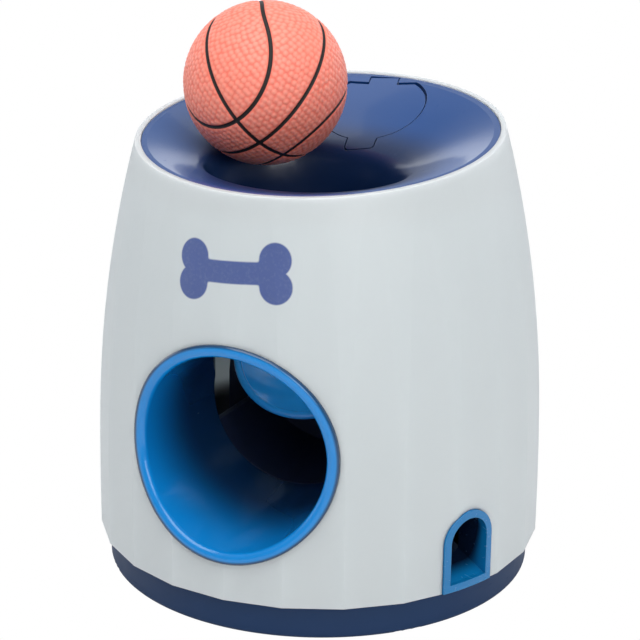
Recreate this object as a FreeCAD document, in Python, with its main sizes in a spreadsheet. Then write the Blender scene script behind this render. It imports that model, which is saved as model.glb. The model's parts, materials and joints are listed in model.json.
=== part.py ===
# Ball and treat tower for dogs.
# The ball drops through the funnel on a counterweighted dish, the dish turns a gate under the treat
# hopper, treats slide to the arched chute, and the ball rolls out of the round tunnel in front.
# Frame: origin on the floor under the middle of the body, +Z up, the tunnel opens towards -Y.
import FreeCAD, Part
import math
import os
import Sketcher
from FreeCAD import Placement, Rotation, Vector
from types import SimpleNamespace

SIZES = {
    # housing: a curved taper whose foot is trimmed to a many-sided prism
    "foot_height": 14.5,          # lower edge of the housing above the floor
    "foot_radius": 85.5,
    "waist_height": 72.0,         # where the gentle lower curve meets the upper one
    "waist_radius": 84.1,
    "lower_curve": 1200.0,
    "upper_curve": 452.0,
    "blank_top": 182.0,           # the housing before its top is cut off at a slant
    "shell_wall": 3.2,
    "lip_wall": 2.0,
    "lip_step": 154.0,            # level step inside, on which the funnel's skirt stands
    "facet_radius": 85.0,         # corners of the faceted foot
    "facet_count": 24.0,
    "facet_waist_depth": 0.65,    # the flat panels sink this far at the waist
    "facet_fade": 165.0,          # and run out at this height
    "facet_margin": 0.02,
    "rim_height": 170.0,          # slanted rim, measured on the axis
    "rim_tilt": 6.1,              # degrees, high at the back
    # funnel
    "funnel_wall": 2.2,
    "funnel_drop": 1.8,           # how far the underside lies below the bowl's surface
    "funnel_fit": 0.15,
    "skirt_wall": 2.0,
    "rim_sink": 0.5,              # the funnel's edge lies this far below the housing's rim
    "throat_setback": -17.0,
    "throat_radius": 33.0,
    "throat_end": 118.0,
    "funnel_blank_top": 179.0,
    "funnel_boss_radius": 4.0,
    "funnel_boss_cover": 1.0,     # of bowl left over each screw boss
    "ear_boss_cover": 3.0,
    # filling lid, on the back slope
    "slope_angle": 24.0,
    "slope_foot": 157.5,          # height of the slope above the floor at slope_start
    "slope_start": 19.5,
    "lid_x": 2.5,
    "lid_y": 43.2,
    "lid_turn": 8.3,              # degrees, the lid's tabs are turned a little to the left
    "lid_radius": 20.2,
    "lid_chord": 15.5,            # the disc is cut straight behind, beside the hinge tab
    "chord_gap": 1.5,             # room behind the disc, whose back moves rearwards as it swings up
    "lid_gap": 0.4,
    "lid_cut_depth": 5.0,
    "lid_cut_rise": 4.0,
    "tab_width": 11.2,
    "tab_rounding": 1.5,
    "front_tab_reach": 25.9,
    "hinge_reach": 18.6,
    "hinge_drop": 1.8,
    "barrel_radius": 2.2,
    "lid_pin_radius": 0.9,
    "hinge_lug_length": 5.0,
    "hinge_lug_width": 4.4,
    "hinge_lug_height": 4.0,
    "hinge_lug_drop": 4.4,
    "pin_cover": 0.8,             # of lug left beyond each end of the pin's hole
    # tunnel
    "tunnel_height": 69.8,
    "mouth_radius": 36.2,
    "mouth_setback": 84.0,
    "tunnel_end_radius": 33.0,
    "tunnel_end": 25.0,
    "tunnel_wall": 2.4,
    "flange_radius": 40.6,
    "flange_proud": 1.5,
    "flange_rounding": 1.2,       # at the flange's outer edge
    "lip_rounding": 2.4,          # where the flange turns into the bore
    "opening_clearance": 0.2,
    "mouth_overrun": 8.0,         # tools run out this far in front of the mouth
    "fall_clearance": 0.5,
    "pedestal_half": 16.0,
    "pedestal_setback": -50.0,
    "pedestal_wall": 2.4,
    # treat chute
    "chute_angle": -26.0,         # degrees from +X, the front right of the body
    "chute_half_width": 11.6,
    "chute_top": 44.7,
    "chute_frame": 2.8,
    "chute_face_radius": 85.3,
    "chute_floor_slope": 20.0,
    "chute_inner_end": 50.0,
    "chute_duct_end": 70.0,
    "pan_wall": 2.0,
    "pan_setback": 2.0,           # the pan ends this far behind the chute's face
    "pan_back_rise": 3.0,
    "pan_leg_inset": 6.0,
    "pan_leg_half": 4.0,
    # base
    "foot_proud": 0.8,
    "base_radius": 81.4,
    "base_floor": 2.5,
    "pad_height": 2.0,            # raised seats round the screws of what stands on the floor
    "seat_pad_radius": 5.5,
    "seat_wall": 2.2,             # left over the heads of the screws in these seats
    "base_wall": 2.5,
    "base_rounding": 2.0,
    "collar_height": 7.5,
    "collar_fit": 0.2,
    "seat_height": 12.0,          # level where the base's posts meet the housing's bosses
    "boss_circle": 72.0,
    "boss_radius": 4.5,
    "boss_top": 40.0,
    "post_radius": 5.0,
    # screws
    "screw_radius": 1.5,
    "screw_head_radius": 2.9,
    "screw_head_height": 2.0,
    "screw_length": 12.0,
    "screw_chamfer": 0.6,
    "cross_half_width": 0.4,
    "cross_half_length": 1.8,
    "cross_depth": 0.8,
    "pilot_extra": 0.5,
    "pilot_clearance": 0.05,
    "clearance_hole_radius": 1.8,
    "counterbore_radius": 3.3,
    # rubber feet
    "rubber_foot_radius": 7.0,
    "rubber_foot_height": 2.0,
    "rubber_foot_circle": 68.0,
    "rubber_foot_chamfer": 0.4,
    # funnel lugs
    "lug_height": 146.0,
    "lug_thickness": 3.0,
    "lug_circle": 63.5,
    "lug_half_width": 6.0,
    # rocker
    "shaft_y": 26.0,
    "shaft_height": 92.0,
    "shaft_radius": 2.0,
    "shaft_left": -49.0,
    "shaft_right": 59.5,
    "running_gap": 0.05,
    "press_gap": 0.02,
    "bush_radius": 4.0,
    "bush_flange_radius": 5.5,
    "bush_flange": 0.8,
    "clip_radius": 4.2,
    "clip_groove": 1.4,
    "clip_thickness": 0.8,
    "clip_mouth": 2.2,
    "dish_y": -5.0,
    "dish_height": 87.0,
    "dish_tilt": 42.0,
    "dish_radius": 32.2,
    "dish_depth": 12.0,
    "dish_wall": 2.2,
    "dish_lip": 0.3,              # the rounded lip stands this far outside the bowl
    "hub_radius": 5.5,
    "hub_half_length": 12.0,
    "web_half_width": 4.0,
    "weight_y": 52.0,
    "weight_height": 94.0,
    "weight_radius": 7.0,
    "weight_half_length": 13.0,
    "weight_ring_wall": 2.0,
    "weight_overhang": 3.0,
    "weight_chamfer": 0.6,
    "gate_left": 37.2,
    "gate_right": 57.0,
    "gate_radius": 27.0,
    "gate_wall": 2.0,
    "gate_gap": 0.5,
    "gate_start": 31.0,           # degrees from +Y, about the shaft
    "gate_end": 73.0,
    "gate_side": 1.8,
    "gate_hub_radius": 5.0,
    "gate_room": 8.0,             # beside the gate, kept free in the hopper
    # rocker frame
    "frame_left": -44.4,
    "frame_right": 35.0,
    "cheek_wall": 2.4,
    "cheek_front": 11.0,
    "cheek_back": 50.0,
    "cheek_boss": 1.6,
    "cheek_boss_radius": 7.0,
    "cheek_head": 9.0,
    "cheek_head_half": 8.0,
    "cheek_foot": 16.0,
    "cheek_screw_front": 7.0,
    "cheek_screw_back": 6.0,
    "cheek_screw_post": 15.0,
    "trough_radius": 35.0,
    "trough_wall": 2.2,
    "trough_axis_height": 72.3,
    "trough_tilt": 6.0,
    "trough_front": -24.7,
    "trough_top": 57.0,
    "trough_leg_half": 14.0,
    "trough_leg_inset": 3.0,
    "trough_leg_top": 52.3,
    "guard_top": 63.4,
    "tie_y": 41.0,
    "tie_height": 79.0,
    "tie_radius": 2.5,
    "tie_margin": 6.0,
    "tie_cover": 2.0,
    "pad_radius": 5.0,
    "pad_half_length": 7.0,
    "rest_gap": 0.3,
    # hopper and slide
    "hopper_radius": 21.5,
    "hopper_wall": 1.8,
    "hopper_shoulder": 150.0,
    "spout_x": 47.0,
    "spout_y": 42.0,
    "spout_radius": 7.8,
    "spout_top": 122.0,
    "spout_end": 104.0,
    "hopper_top": 182.0,
    "hinge_room": 5.5,
    "hinge_room_depth": 6.5,
    "ear_reach": 28.5,
    "ear_width": 10.0,
    "ear_thickness": 2.5,
    "slide_top_x": 46.0,
    "slide_top_y": 54.0,
    "slide_top": 88.0,
    "slide_foot": 33.0,
    "slide_overlap": 8.5,         # the slide's foot reaches this far over the chute's pan
    "slide_lower_post": 0.3,      # shares of the slide's length
    "slide_upper_post": 0.8,
    "slide_post_radius": 4.0,
    "slide_post_rise": 4.0,
    "slide_width": 20.0,
    "slide_wall": 1.6,
    "slide_side": 10.0,
    # ball
    "ball_radius": 30.45,
    "ball_wall": 3.5,
    "ball_x": -21.1,
    "ball_y": -5.15,
    "ball_height": 185.9,
    "seam_radius": 0.8,
}

doc = FreeCAD.newDocument("ball_and_treat_tower")
sheet = doc.addObject("Spreadsheet::Sheet", "dims")
for row, (alias, amount) in enumerate(SIZES.items(), start=1):
    sheet.set(f"A{row}", alias)
    sheet.set(f"B{row}", str(amount))
    sheet.setAlias(f"B{row}", alias)
doc.recompute()
d = SimpleNamespace(**{alias: float(sheet.get(alias)) for alias in SIZES})

UP = Vector(0, 0, 1)
ACROSS = Vector(1, 0, 0)
BACK = Vector(0, 1, 0)
FLOOR = d.foot_proud + d.base_floor
SEAT = FLOOR + d.pad_height                      # top of the seat pads
FLOOR_SEAT = SEAT - d.seat_wall                  # where the heads of the floor's screws bear
BASE_SEAT = d.foot_proud + 3 * d.screw_head_height
REACH = 130.0                     # larger than the body's half width, for tools that cut right through
BITE = 0.5                        # how far pieces that are fused reach into one another


# Small helpers

def add_part(label, shape):
    part = doc.addObject("Part::Feature", label)
    part.Shape = shape
    part.Label = label
    return part


def on_circle(radius, degrees, height=0.0):
    angle = math.radians(degrees)
    return Vector(radius * math.cos(angle), radius * math.sin(angle), height)


def cylinder(radius, start, end):
    along = end - start
    return Part.makeCylinder(radius, along.Length, start, along)


def tube(outer, inner, start, end):
    return cylinder(outer, start, end).cut(cylinder(inner, start, end))


def block(low, high):
    span = high - low
    return Part.makeBox(span.x, span.y, span.z, low)


def plate_across(corners, left, right):
    # a flat plate between two x positions, its outline given as (y, z) corners
    points = [Vector(left, y, z) for y, z in corners]
    face = Part.Face(Part.makePolygon(points + points[:1]))
    return face.extrude(Vector(right - left, 0, 0))


def turned(shape, degrees):
    copy = shape.copy()
    copy.rotate(Vector(), UP, degrees)
    return copy


def fuse_all(shapes):
    return shapes[0].fuse(shapes[1:]).removeSplitter()


def size(*names):
    # a sum of sheet cells, as a number and as an expression; a leading minus subtracts
    number = 0.0
    text = ""
    for name in names:
        sign = -1 if name.startswith("-") else 1
        alias = name.lstrip("-")
        number += sign * getattr(d, alias)
        text += (" - " if sign < 0 else " + ") + "dims." + alias
    return number, text.lstrip(" +")


# Sketch helpers

def origin_plane(body, role):
    return next(item for item in body.Origin.OriginFeatures if item.Role == role)


def new_sketch(body, name, role, offset=None):
    sketch = body.newObject("Sketcher::SketchObject", name)
    sketch.AttachmentSupport = (origin_plane(body, role), [""])
    sketch.MapMode = "FlatFace"
    if offset:
        sketch.AttachmentOffset = offset
    return sketch


def bind(sketch, constraint, expression):
    index = sketch.addConstraint(constraint)
    sketch.setExpression(f"Constraints[{index}]", expression)


def pin_point(sketch, geometry, point, across, along):
    # ties one end of a sketch edge to sheet values; None puts it on that axis
    for kind, axis, amount in (("DistanceX", -2, across), ("DistanceY", -1, along)):
        if amount is None:
            sketch.addConstraint(Sketcher.Constraint("PointOnObject", geometry, point, axis))
        else:
            constraint = Sketcher.Constraint(kind, -1, 1, geometry, point, amount[0])
            bind(sketch, constraint, amount[1])


def polygon(sketch, corners):
    # a closed outline of straight edges, each corner tied to the sheet
    spots = [Vector(x[0] if x else 0, y[0] if y else 0, 0) for x, y in corners]
    first = sketch.GeometryCount
    count = len(corners)
    for index in range(count):
        sketch.addGeometry(Part.LineSegment(spots[index], spots[(index + 1) % count]), False)
    for index in range(count):
        following = first + (index + 1) % count
        sketch.addConstraint(Sketcher.Constraint("Coincident", first + index, 2, following, 1))
    for index, (across, along) in enumerate(corners):
        pin_point(sketch, first + index, 1, across, along)


def circle(sketch, across, along, radius):
    centre = Vector(across[0] if across else 0, along[0] if along else 0, 0)
    index = sketch.addGeometry(Part.Circle(centre, UP, radius[0]), False)
    pin_point(sketch, index, 3, across, along)
    bind(sketch, Sketcher.Constraint("Radius", index, radius[0]), radius[1])


def revolve(body, name, sketch, degrees=360):
    feature = body.newObject("PartDesign::Revolution", name)
    feature.Profile = sketch
    feature.ReferenceAxis = (sketch, ["V_Axis"])
    feature.Angle = degrees
    feature.Refine = False
    return feature


def pad(body, name, sketch, length):
    feature = body.newObject("PartDesign::Pad", name)
    feature.Profile = sketch
    feature.Length = length[0]
    feature.setExpression("Length", length[1])
    feature.Refine = False
    return feature


def pocket_through(body, name, sketch, reverse):
    feature = body.newObject("PartDesign::Pocket", name)
    feature.Profile = sketch
    feature.Type = "ThroughAll"
    feature.Reversed = reverse
    feature.Refine = False
    return feature


def polar_pattern(body, name, features, count):
    pattern = body.newObject("PartDesign::PolarPattern", name)
    pattern.Originals = features
    pattern.Axis = (origin_plane(body, "Z_Axis"), [""])
    pattern.Angle = 360
    pattern.Occurrences = count
    pattern.Refine = False
    body.Tip = pattern
    return pattern


# The housing's outline, shared by everything that lines up with its surface

def outline_centres():
    foot = Vector(d.foot_radius, 0, d.foot_height)
    waist = Vector(d.waist_radius, 0, d.waist_height)
    chord = waist - foot
    rise = math.sqrt(d.lower_curve ** 2 - (chord.Length / 2) ** 2)
    inward = Vector(-chord.z, 0, chord.x).normalize()
    lower = (foot + waist) / 2 + inward * rise
    upper = waist + (lower - waist) * (d.upper_curve / d.lower_curve)
    return lower, upper


LOWER_CENTRE, UPPER_CENTRE = outline_centres()


def waist_point(inset=0.0):
    waist = Vector(d.waist_radius, 0, d.waist_height)
    return waist + (LOWER_CENTRE - waist).normalize() * inset


def outline_point(height, inset=0.0):
    upper = height > waist_point(inset).z
    centre = UPPER_CENTRE if upper else LOWER_CENTRE
    radius = (d.upper_curve if upper else d.lower_curve) - inset
    return Vector(centre.x + math.sqrt(radius ** 2 - (height - centre.z) ** 2), 0, height)


def outline_edges(low, high, inset=0.0):
    stops = [low, high]
    if low < waist_point(inset).z < high:
        stops.insert(1, waist_point(inset).z)
    edges = []
    for start, end in zip(stops, stops[1:]):
        points = [outline_point(z, inset) for z in (start + 1e-7, (start + end) / 2, end - 1e-7)]
        points[0].z = start
        points[2].z = end
        edges.append(Part.Arc(*points).toShape())
    return edges


def housing_solid(inset, low, high):
    # everything inside the housing's outline moved inward by inset, between two heights
    edges = outline_edges(low, high, inset)
    foot = edges[0].valueAt(edges[0].FirstParameter)
    top = edges[-1].valueAt(edges[-1].LastParameter)
    lines = [
        Part.makeLine(top, Vector(0, 0, high)),
        Part.makeLine(Vector(0, 0, high), Vector(0, 0, low)),
        Part.makeLine(Vector(0, 0, low), foot),
    ]
    profile = Part.Wire(Part.__sortEdges__(edges + lines))
    return Part.makeSolid(Part.Face(profile).revolve(Vector(), UP, 360))


def housing_cone(inset, low, high):
    # the housing's outline moved inward by inset, taken straight between two heights near the rim
    bottom = outline_point(low, inset).x
    top = outline_point(high, inset).x
    return Part.makeCone(bottom, top, high - low, Vector(0, 0, low))


def rim_plane_height(y):
    return d.rim_height + y * math.tan(math.radians(d.rim_tilt))


def below_rim(sink):
    # a large block whose top is the slanted rim plane, lowered by sink
    corners = [(-REACH, 0), (REACH, 0), (REACH, rim_plane_height(REACH) - sink)]
    corners.append((-REACH, rim_plane_height(-REACH) - sink))
    return plate_across(corners, -REACH, REACH)


def arch_prism(half_width, low, top, start, end):
    # an upright arch, drawn in the plane across +X and run outward from start to end
    spring = top - half_width
    left = Vector(start, -half_width, low)
    right = Vector(start, half_width, low)
    left_spring = Vector(start, -half_width, spring)
    right_spring = Vector(start, half_width, spring)
    arc = Part.Arc(left_spring, Vector(start, 0, top), right_spring).toShape()
    sides = [
        Part.makeLine(right_spring, right),
        Part.makeLine(right, left),
        Part.makeLine(left, left_spring),
    ]
    return Part.Face(Part.Wire([arc] + sides)).extrude(ACROSS * (end - start))


# Housing

def make_outer_shell():
    body = doc.addObject("PartDesign::Body", "outer_shell")
    # turned as four quarters, so that every curved face stays well under half a turn
    half_step = 180 / d.facet_count
    quarter = Placement(Vector(), Rotation(Vector(0, 1, 0), half_step / 2))
    sketch = new_sketch(body, "shell_profile", "XZ_Plane", quarter)
    sketch.setExpression("AttachmentOffset.Rotation.Angle", "90 / dims.facet_count")
    foot = outline_point(d.foot_height)
    waist = waist_point()
    top = outline_point(d.blank_top)
    lip_top = outline_point(d.blank_top, d.lip_wall)
    lip_foot = outline_point(d.lip_step, d.lip_wall)
    wall_top = outline_point(d.lip_step, d.shell_wall)
    inner_waist = waist_point(d.shell_wall)
    inner_foot = outline_point(d.foot_height, d.shell_wall)

    def flat(point):
        return Vector(point.x, point.z, 0)

    def add_arc(start, end, centre, radius):
        first = math.asin((start.z - centre.z) / radius)
        last = math.asin((end.z - centre.z) / radius)
        round_edge = Part.Circle(flat(centre), UP, radius)
        return sketch.addGeometry(Part.ArcOfCircle(round_edge, first, last), False)

    lower = add_arc(foot, waist, LOWER_CENTRE, d.lower_curve)
    upper = add_arc(waist, top, UPPER_CENTRE, d.upper_curve)
    lip = add_arc(lip_foot, lip_top, UPPER_CENTRE, d.upper_curve - d.lip_wall)
    inner_upper = add_arc(inner_waist, wall_top, UPPER_CENTRE, d.upper_curve - d.shell_wall)
    inner_lower = add_arc(inner_foot, inner_waist, LOWER_CENTRE, d.lower_curve - d.shell_wall)
    top_edge = sketch.addGeometry(Part.LineSegment(flat(top), flat(lip_top)), False)
    step = sketch.addGeometry(Part.LineSegment(flat(lip_foot), flat(wall_top)), False)
    foot_edge = sketch.addGeometry(Part.LineSegment(flat(inner_foot), flat(foot)), False)

    joints = [
        (top_edge, 1, upper, 2),
        (top_edge, 2, lip, 2),
        (step, 1, lip, 1),
        (step, 2, inner_upper, 2),
        (foot_edge, 1, inner_lower, 1),
        (foot_edge, 2, lower, 1),
    ]
    for first, first_end, second, second_end in joints:
        sketch.addConstraint(Sketcher.Constraint("Coincident", first, first_end, second, second_end))
    sketch.addConstraint(Sketcher.Constraint("Tangent", lower, 2, upper, 1))
    sketch.addConstraint(Sketcher.Constraint("Tangent", inner_lower, 2, inner_upper, 1))
    for centred, on in ((lip, upper), (inner_upper, upper), (inner_lower, lower)):
        sketch.addConstraint(Sketcher.Constraint("Coincident", centred, 3, on, 3))
    for edge in (top_edge, step, foot_edge):
        sketch.addConstraint(Sketcher.Constraint("Horizontal", edge))
    radii = [
        (lower, size("lower_curve")),
        (upper, size("upper_curve")),
        (lip, size("upper_curve", "-lip_wall")),
        (inner_upper, size("upper_curve", "-shell_wall")),
    ]
    for arc, amount in radii:
        bind(sketch, Sketcher.Constraint("Radius", arc, amount[0]), amount[1])
    pin_point(sketch, lower, 1, size("foot_radius"), size("foot_height"))
    pin_point(sketch, lower, 2, size("waist_radius"), size("waist_height"))
    for edge, amount in ((top_edge, size("blank_top")), (step, size("lip_step"))):
        bind(sketch, Sketcher.Constraint("DistanceY", -1, 1, edge, 1, amount[0]), amount[1])
    turned_quarter = revolve(body, "shell_quarter", sketch, 90)
    polar_pattern(body, "shell_turned", [turned_quarter], 4)

    # one flat panel: everything outside its own curve is cut away, and the cut is repeated all round
    count = int(d.facet_count)
    facing = Placement(Vector(), Rotation(Vector(0, 1, 0), half_step))
    panel = new_sketch(body, "panel_profile", "XZ_Plane", facing)
    panel.setExpression("AttachmentOffset.Rotation.Angle", "180 / dims.facet_count")
    foot_x = (d.facet_radius * math.cos(math.radians(half_step)),
              "dims.facet_radius * cos(180 / dims.facet_count)")
    waist_x = size("waist_radius", "-facet_waist_depth")
    fade_radius = outline_point(d.facet_fade).x
    fade_x = (fade_radius + d.facet_margin, f"{fade_radius:.4f} + dims.facet_margin")
    over_x = (REACH, f"{REACH}")
    corners = [
        (foot_x, size("foot_height")),
        (waist_x, size("waist_height")),
        (fade_x, size("facet_fade")),
        (over_x, size("facet_fade")),
        (over_x, size("foot_height")),
    ]
    spots = [Vector(x[0], y[0], 0) for x, y in corners]

    def bulging_arc(start, end, radius):
        chord = end - start
        inward = Vector(-chord.y, chord.x, 0).normalize()
        centre = (start + end) / 2 + inward * math.sqrt(radius ** 2 - (chord.Length / 2) ** 2)
        angles = [math.atan2(point.y - centre.y, point.x - centre.x) for point in (start, end)]
        return Part.ArcOfCircle(Part.Circle(centre, UP, radius), angles[0], angles[1])

    edges = [
        panel.addGeometry(bulging_arc(spots[0], spots[1], d.lower_curve), False),
        panel.addGeometry(bulging_arc(spots[1], spots[2], d.upper_curve), False),
    ]
    for index in (2, 3, 4):
        line = Part.LineSegment(spots[index], spots[(index + 1) % 5])
        edges.append(panel.addGeometry(line, False))
    for index, (across, along) in enumerate(corners):
        following = edges[(index + 1) % 5]
        panel.addConstraint(Sketcher.Constraint("Coincident", edges[index], 2, following, 1))
        pin_point(panel, edges[index], 1, across, along)
    for arc, amount in ((edges[0], size("lower_curve")), (edges[1], size("upper_curve"))):
        bind(panel, Sketcher.Constraint("Radius", arc, amount[0]), amount[1])
    panel_cut = pocket_through(body, "shell_panel", panel, False)
    panel_cut.Midplane = True
    polar_pattern(body, "shell_panels", [panel_cut], count)

    slant = new_sketch(body, "rim_slant", "YZ_Plane")
    rise = f"{REACH} * tan(dims.rim_tilt)"
    front = (rim_plane_height(-REACH), f"dims.rim_height - {rise}")
    back = (rim_plane_height(REACH), f"dims.rim_height + {rise}")
    over = (2 * REACH, f"2 * {REACH}")
    near = (-REACH, f"-{REACH}")
    far = (REACH, f"{REACH}")
    polygon(slant, [(near, front), (far, back), (far, over), (near, over)])
    cut = pocket_through(body, "shell_slanted_top", slant, False)
    cut.Midplane = True

    hole = new_sketch(body, "tunnel_hole", "XZ_Plane")
    wall = size("mouth_radius", "tunnel_wall", "opening_clearance")
    circle(hole, None, size("tunnel_height"), wall)
    pocket_through(body, "shell_tunnel_opening", hole, True)

    turn = Placement(Vector(), Rotation(Vector(0, 1, 0), 90 + d.chute_angle))
    notch = new_sketch(body, "chute_notch", "XZ_Plane", turn)
    notch.setExpression("AttachmentOffset.Rotation.Angle", "90 + dims.chute_angle")
    reach = size("chute_half_width", "opening_clearance")
    spring = size("chute_top", "-chute_half_width")
    sill = size("foot_height", "-opening_clearance")
    arc = Part.ArcOfCircle(Part.Circle(Vector(0, spring[0], 0), UP, reach[0]), 0, math.pi)
    head = notch.addGeometry(arc, False)
    spots = [(-1, spring), (-1, sill), (1, sill), (1, spring)]
    spots = [Vector(side * reach[0], level[0], 0) for side, level in spots]
    sides = [notch.addGeometry(Part.LineSegment(spots[i], spots[i + 1]), False) for i in range(3)]
    joins = [(head, 2, sides[0], 1), (sides[0], 2, sides[1], 1), (sides[1], 2, sides[2], 1)]
    for first_edge, first_end, second_edge, second_end in joins + [(sides[2], 2, head, 1)]:
        constraint = Sketcher.Constraint("Coincident", first_edge, first_end, second_edge, second_end)
        notch.addConstraint(constraint)
    notch.addConstraint(Sketcher.Constraint("Vertical", sides[0]))
    notch.addConstraint(Sketcher.Constraint("Vertical", sides[2]))
    notch.addConstraint(Sketcher.Constraint("Horizontal", sides[1]))
    pin_point(notch, head, 3, None, spring)
    bind(notch, Sketcher.Constraint("Radius", head, reach[0]), reach[1])
    for end in (1, 2):
        bind(notch, Sketcher.Constraint("DistanceY", -1, 1, head, end, spring[0]), spring[1])
    bind(notch, Sketcher.Constraint("DistanceY", -1, 1, sides[1], 1, sill[0]), sill[1])
    pocket_through(body, "shell_chute_opening", notch, True)

    # screw bosses for the base, each tied to the wall by a rib above the base's collar
    around = Rotation(UP, 45)
    seat = Placement(Vector(0, 0, d.seat_height), around)
    boss = new_sketch(body, "boss_ring", "XY_Plane", seat)
    boss.setExpression("AttachmentOffset.Base.z", "dims.seat_height")
    circle(boss, size("boss_circle"), None, size("boss_radius"))
    circle(boss, size("boss_circle"), None, size("screw_radius", "pilot_clearance"))
    boss_pad = pad(body, "boss", boss, size("boss_top", "-seat_height"))
    collar_top = size("foot_height", "collar_height", "opening_clearance")
    rib_place = Placement(Vector(0, 0, collar_top[0]), around)
    rib_sketch = new_sketch(body, "boss_rib", "XY_Plane", rib_place)
    rib_sketch.setExpression("AttachmentOffset.Base.z", collar_top[1])
    rib_side = (d.shell_wall / 2, "dims.shell_wall / 2")
    rib_other = (-d.shell_wall / 2, "-dims.shell_wall / 2")
    rib_start = size("boss_circle", "boss_radius", "-pilot_clearance", "-pilot_clearance")
    rib_end = size("facet_radius", "-lip_wall")
    rib_corners = [(rib_start, rib_other), (rib_end, rib_other), (rib_end, rib_side), (rib_start, rib_side)]
    polygon(rib_sketch, rib_corners)
    rib_height = size("boss_top", "-foot_height", "-collar_height", "-opening_clearance")
    rib_pad = pad(body, "boss_wall_rib", rib_sketch, rib_height)
    polar_pattern(body, "bosses", [boss_pad, rib_pad], 4)

    # lugs under the rim, which take the funnel's screws
    lug_place = Placement(Vector(0, 0, d.lug_height), Rotation(UP, 30))
    lug = new_sketch(body, "lug_outline", "XY_Plane", lug_place)
    lug.setExpression("AttachmentOffset.Base.z", "dims.lug_height")
    tip = size("lug_circle", "-post_radius")
    root = size("lug_circle", "lug_half_width", "shell_wall")
    side = size("lug_half_width")
    other = (-d.lug_half_width, "-dims.lug_half_width")
    polygon(lug, [(tip, other), (root, other), (root, side), (tip, side)])
    circle(lug, size("lug_circle"), None, size("clearance_hole_radius"))
    lug_pad = pad(body, "lug", lug, size("lug_thickness"))
    polar_pattern(body, "lugs", [lug_pad], 3)
    return body


# Funnel

def bowl_sections():
    # the bowl's control rings from above the rim down to the throat:
    # middle (y), half width across, half width front to back, height and tilt in degrees
    rim = d.rim_height
    throat = d.throat_setback
    radius = d.throat_radius
    return [
        (-2.5, 72.4, 72.4, rim + 1.9, d.rim_tilt),
        (-2.5, 65.6, 65.6, rim - 0.3, d.rim_tilt),
        (-4.0, 57.8, 57.3, rim - 3.0, 5.6),
        (-7.5, 49.8, 48.5, rim - 6.4, 4.2),
        (-12.0, 41.6, 38.5, rim - 9.8, 1.5),
        (-14.3, 38.1, 34.3, rim - 12.2, 0.5),
        (throat + 1.2, radius + 3.6, radius + 0.6, rim - 15.8, 1.2),
        (throat + 0.4, radius + 2.1, radius + 0.4, rim - 20.8, 0.8),
        (throat, radius + 0.8, radius + 0.2, rim - 27.0, 0.0),
        (throat, radius, radius, rim - 33.0, 0.0),
    ]


def bowl_loft(grow, drop):
    # the bowl as a solid, and the straight throat below it
    rings = []
    for centre_y, across, along, height, tilt in bowl_sections():
        ring = Part.Wire(Part.Ellipse(Vector(), across + grow, along + grow).toShape())
        ring.Placement = Placement(Vector(0, centre_y, height - drop), Rotation(ACROSS, tilt))
        rings.append(ring)
    centre_y, radius, along, height, tilt = bowl_sections()[-1]
    throat = Vector(0, centre_y, 0)
    low = throat + UP * (d.throat_end - drop)
    straight = cylinder(radius + grow, low, throat + UP * (height - drop))
    smooth_degree = 3
    return Part.makeLoft(rings, True, False, False, smooth_degree).fuse(straight)


def slope_frame(across, along, lift):
    # a place on the back slope: across and along the lid's own axes, lifted off the slope
    slope = Rotation(ACROSS, d.slope_angle)
    turn = slope.multiply(Rotation(UP, d.lid_turn))
    middle_height = d.slope_foot + (d.lid_y - d.slope_start) * math.tan(math.radians(d.slope_angle))
    middle = Vector(d.lid_x, d.lid_y, middle_height)
    return Placement(middle + turn.multVec(Vector(across, along, lift)), turn)


def lid_prism(gap, depth_below, depth_above):
    # the lid's outline with a gap all round, run through the bowl's skin
    span = depth_below + depth_above
    disc = Part.makeCylinder(d.lid_radius + gap, span)
    half = d.tab_width / 2 + gap
    chord = d.lid_chord
    if gap:
        # the disc's back moves rearwards as it swings up
        disc = disc.fuse(disc.translated(Vector(0, d.chord_gap, 0)))
        chord += d.chord_gap
    trim = block(Vector(-REACH, chord, -1), Vector(REACH, REACH, span + 1))
    end = d.hinge_reach + d.barrel_radius + gap
    back_tab = block(Vector(-half, 0, 0), Vector(half, end, span))
    front_end = -d.front_tab_reach - gap
    front_tab = block(Vector(-half, front_end, 0), Vector(half, 0, span))
    corners = [edge for edge in front_tab.Edges if abs(edge.tangentAt(edge.FirstParameter).z) > 0.9]
    corners = [edge for edge in corners if edge.CenterOfMass.y < front_end / 2]
    front_tab = front_tab.makeFillet(d.tab_rounding, corners)
    outline = disc.cut(trim).fuse([back_tab, front_tab])
    outline.Placement = slope_frame(0, 0, -depth_below)
    return outline


def hinge_line(start, end):
    low = slope_frame(start, d.hinge_reach, -d.hinge_drop).Base
    high = slope_frame(end, d.hinge_reach, -d.hinge_drop).Base
    return low, high


def funnel_screw_spots():
    return [on_circle(d.lug_circle, 30 + 120 * index) for index in range(3)]


def hopper_ear_spots():
    return [Vector(d.lid_x + side * d.ear_reach, d.lid_y + 2, 0) for side in (-1, 1)]


def funnel_bosses():
    # place, foot height and drop below the rim plane of each screw boss under the bowl
    lug_top = d.lug_height + d.lug_thickness
    ear_top = d.hopper_shoulder + d.ear_thickness
    bosses = [(spot, lug_top, d.funnel_boss_cover) for spot in funnel_screw_spots()]
    return bosses + [(spot, ear_top, d.ear_boss_cover) for spot in hopper_ear_spots()]


BOWL_SPACE = bowl_loft(0, 0)
BOWL_UNDER = bowl_loft(d.funnel_wall, d.funnel_drop)


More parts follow.
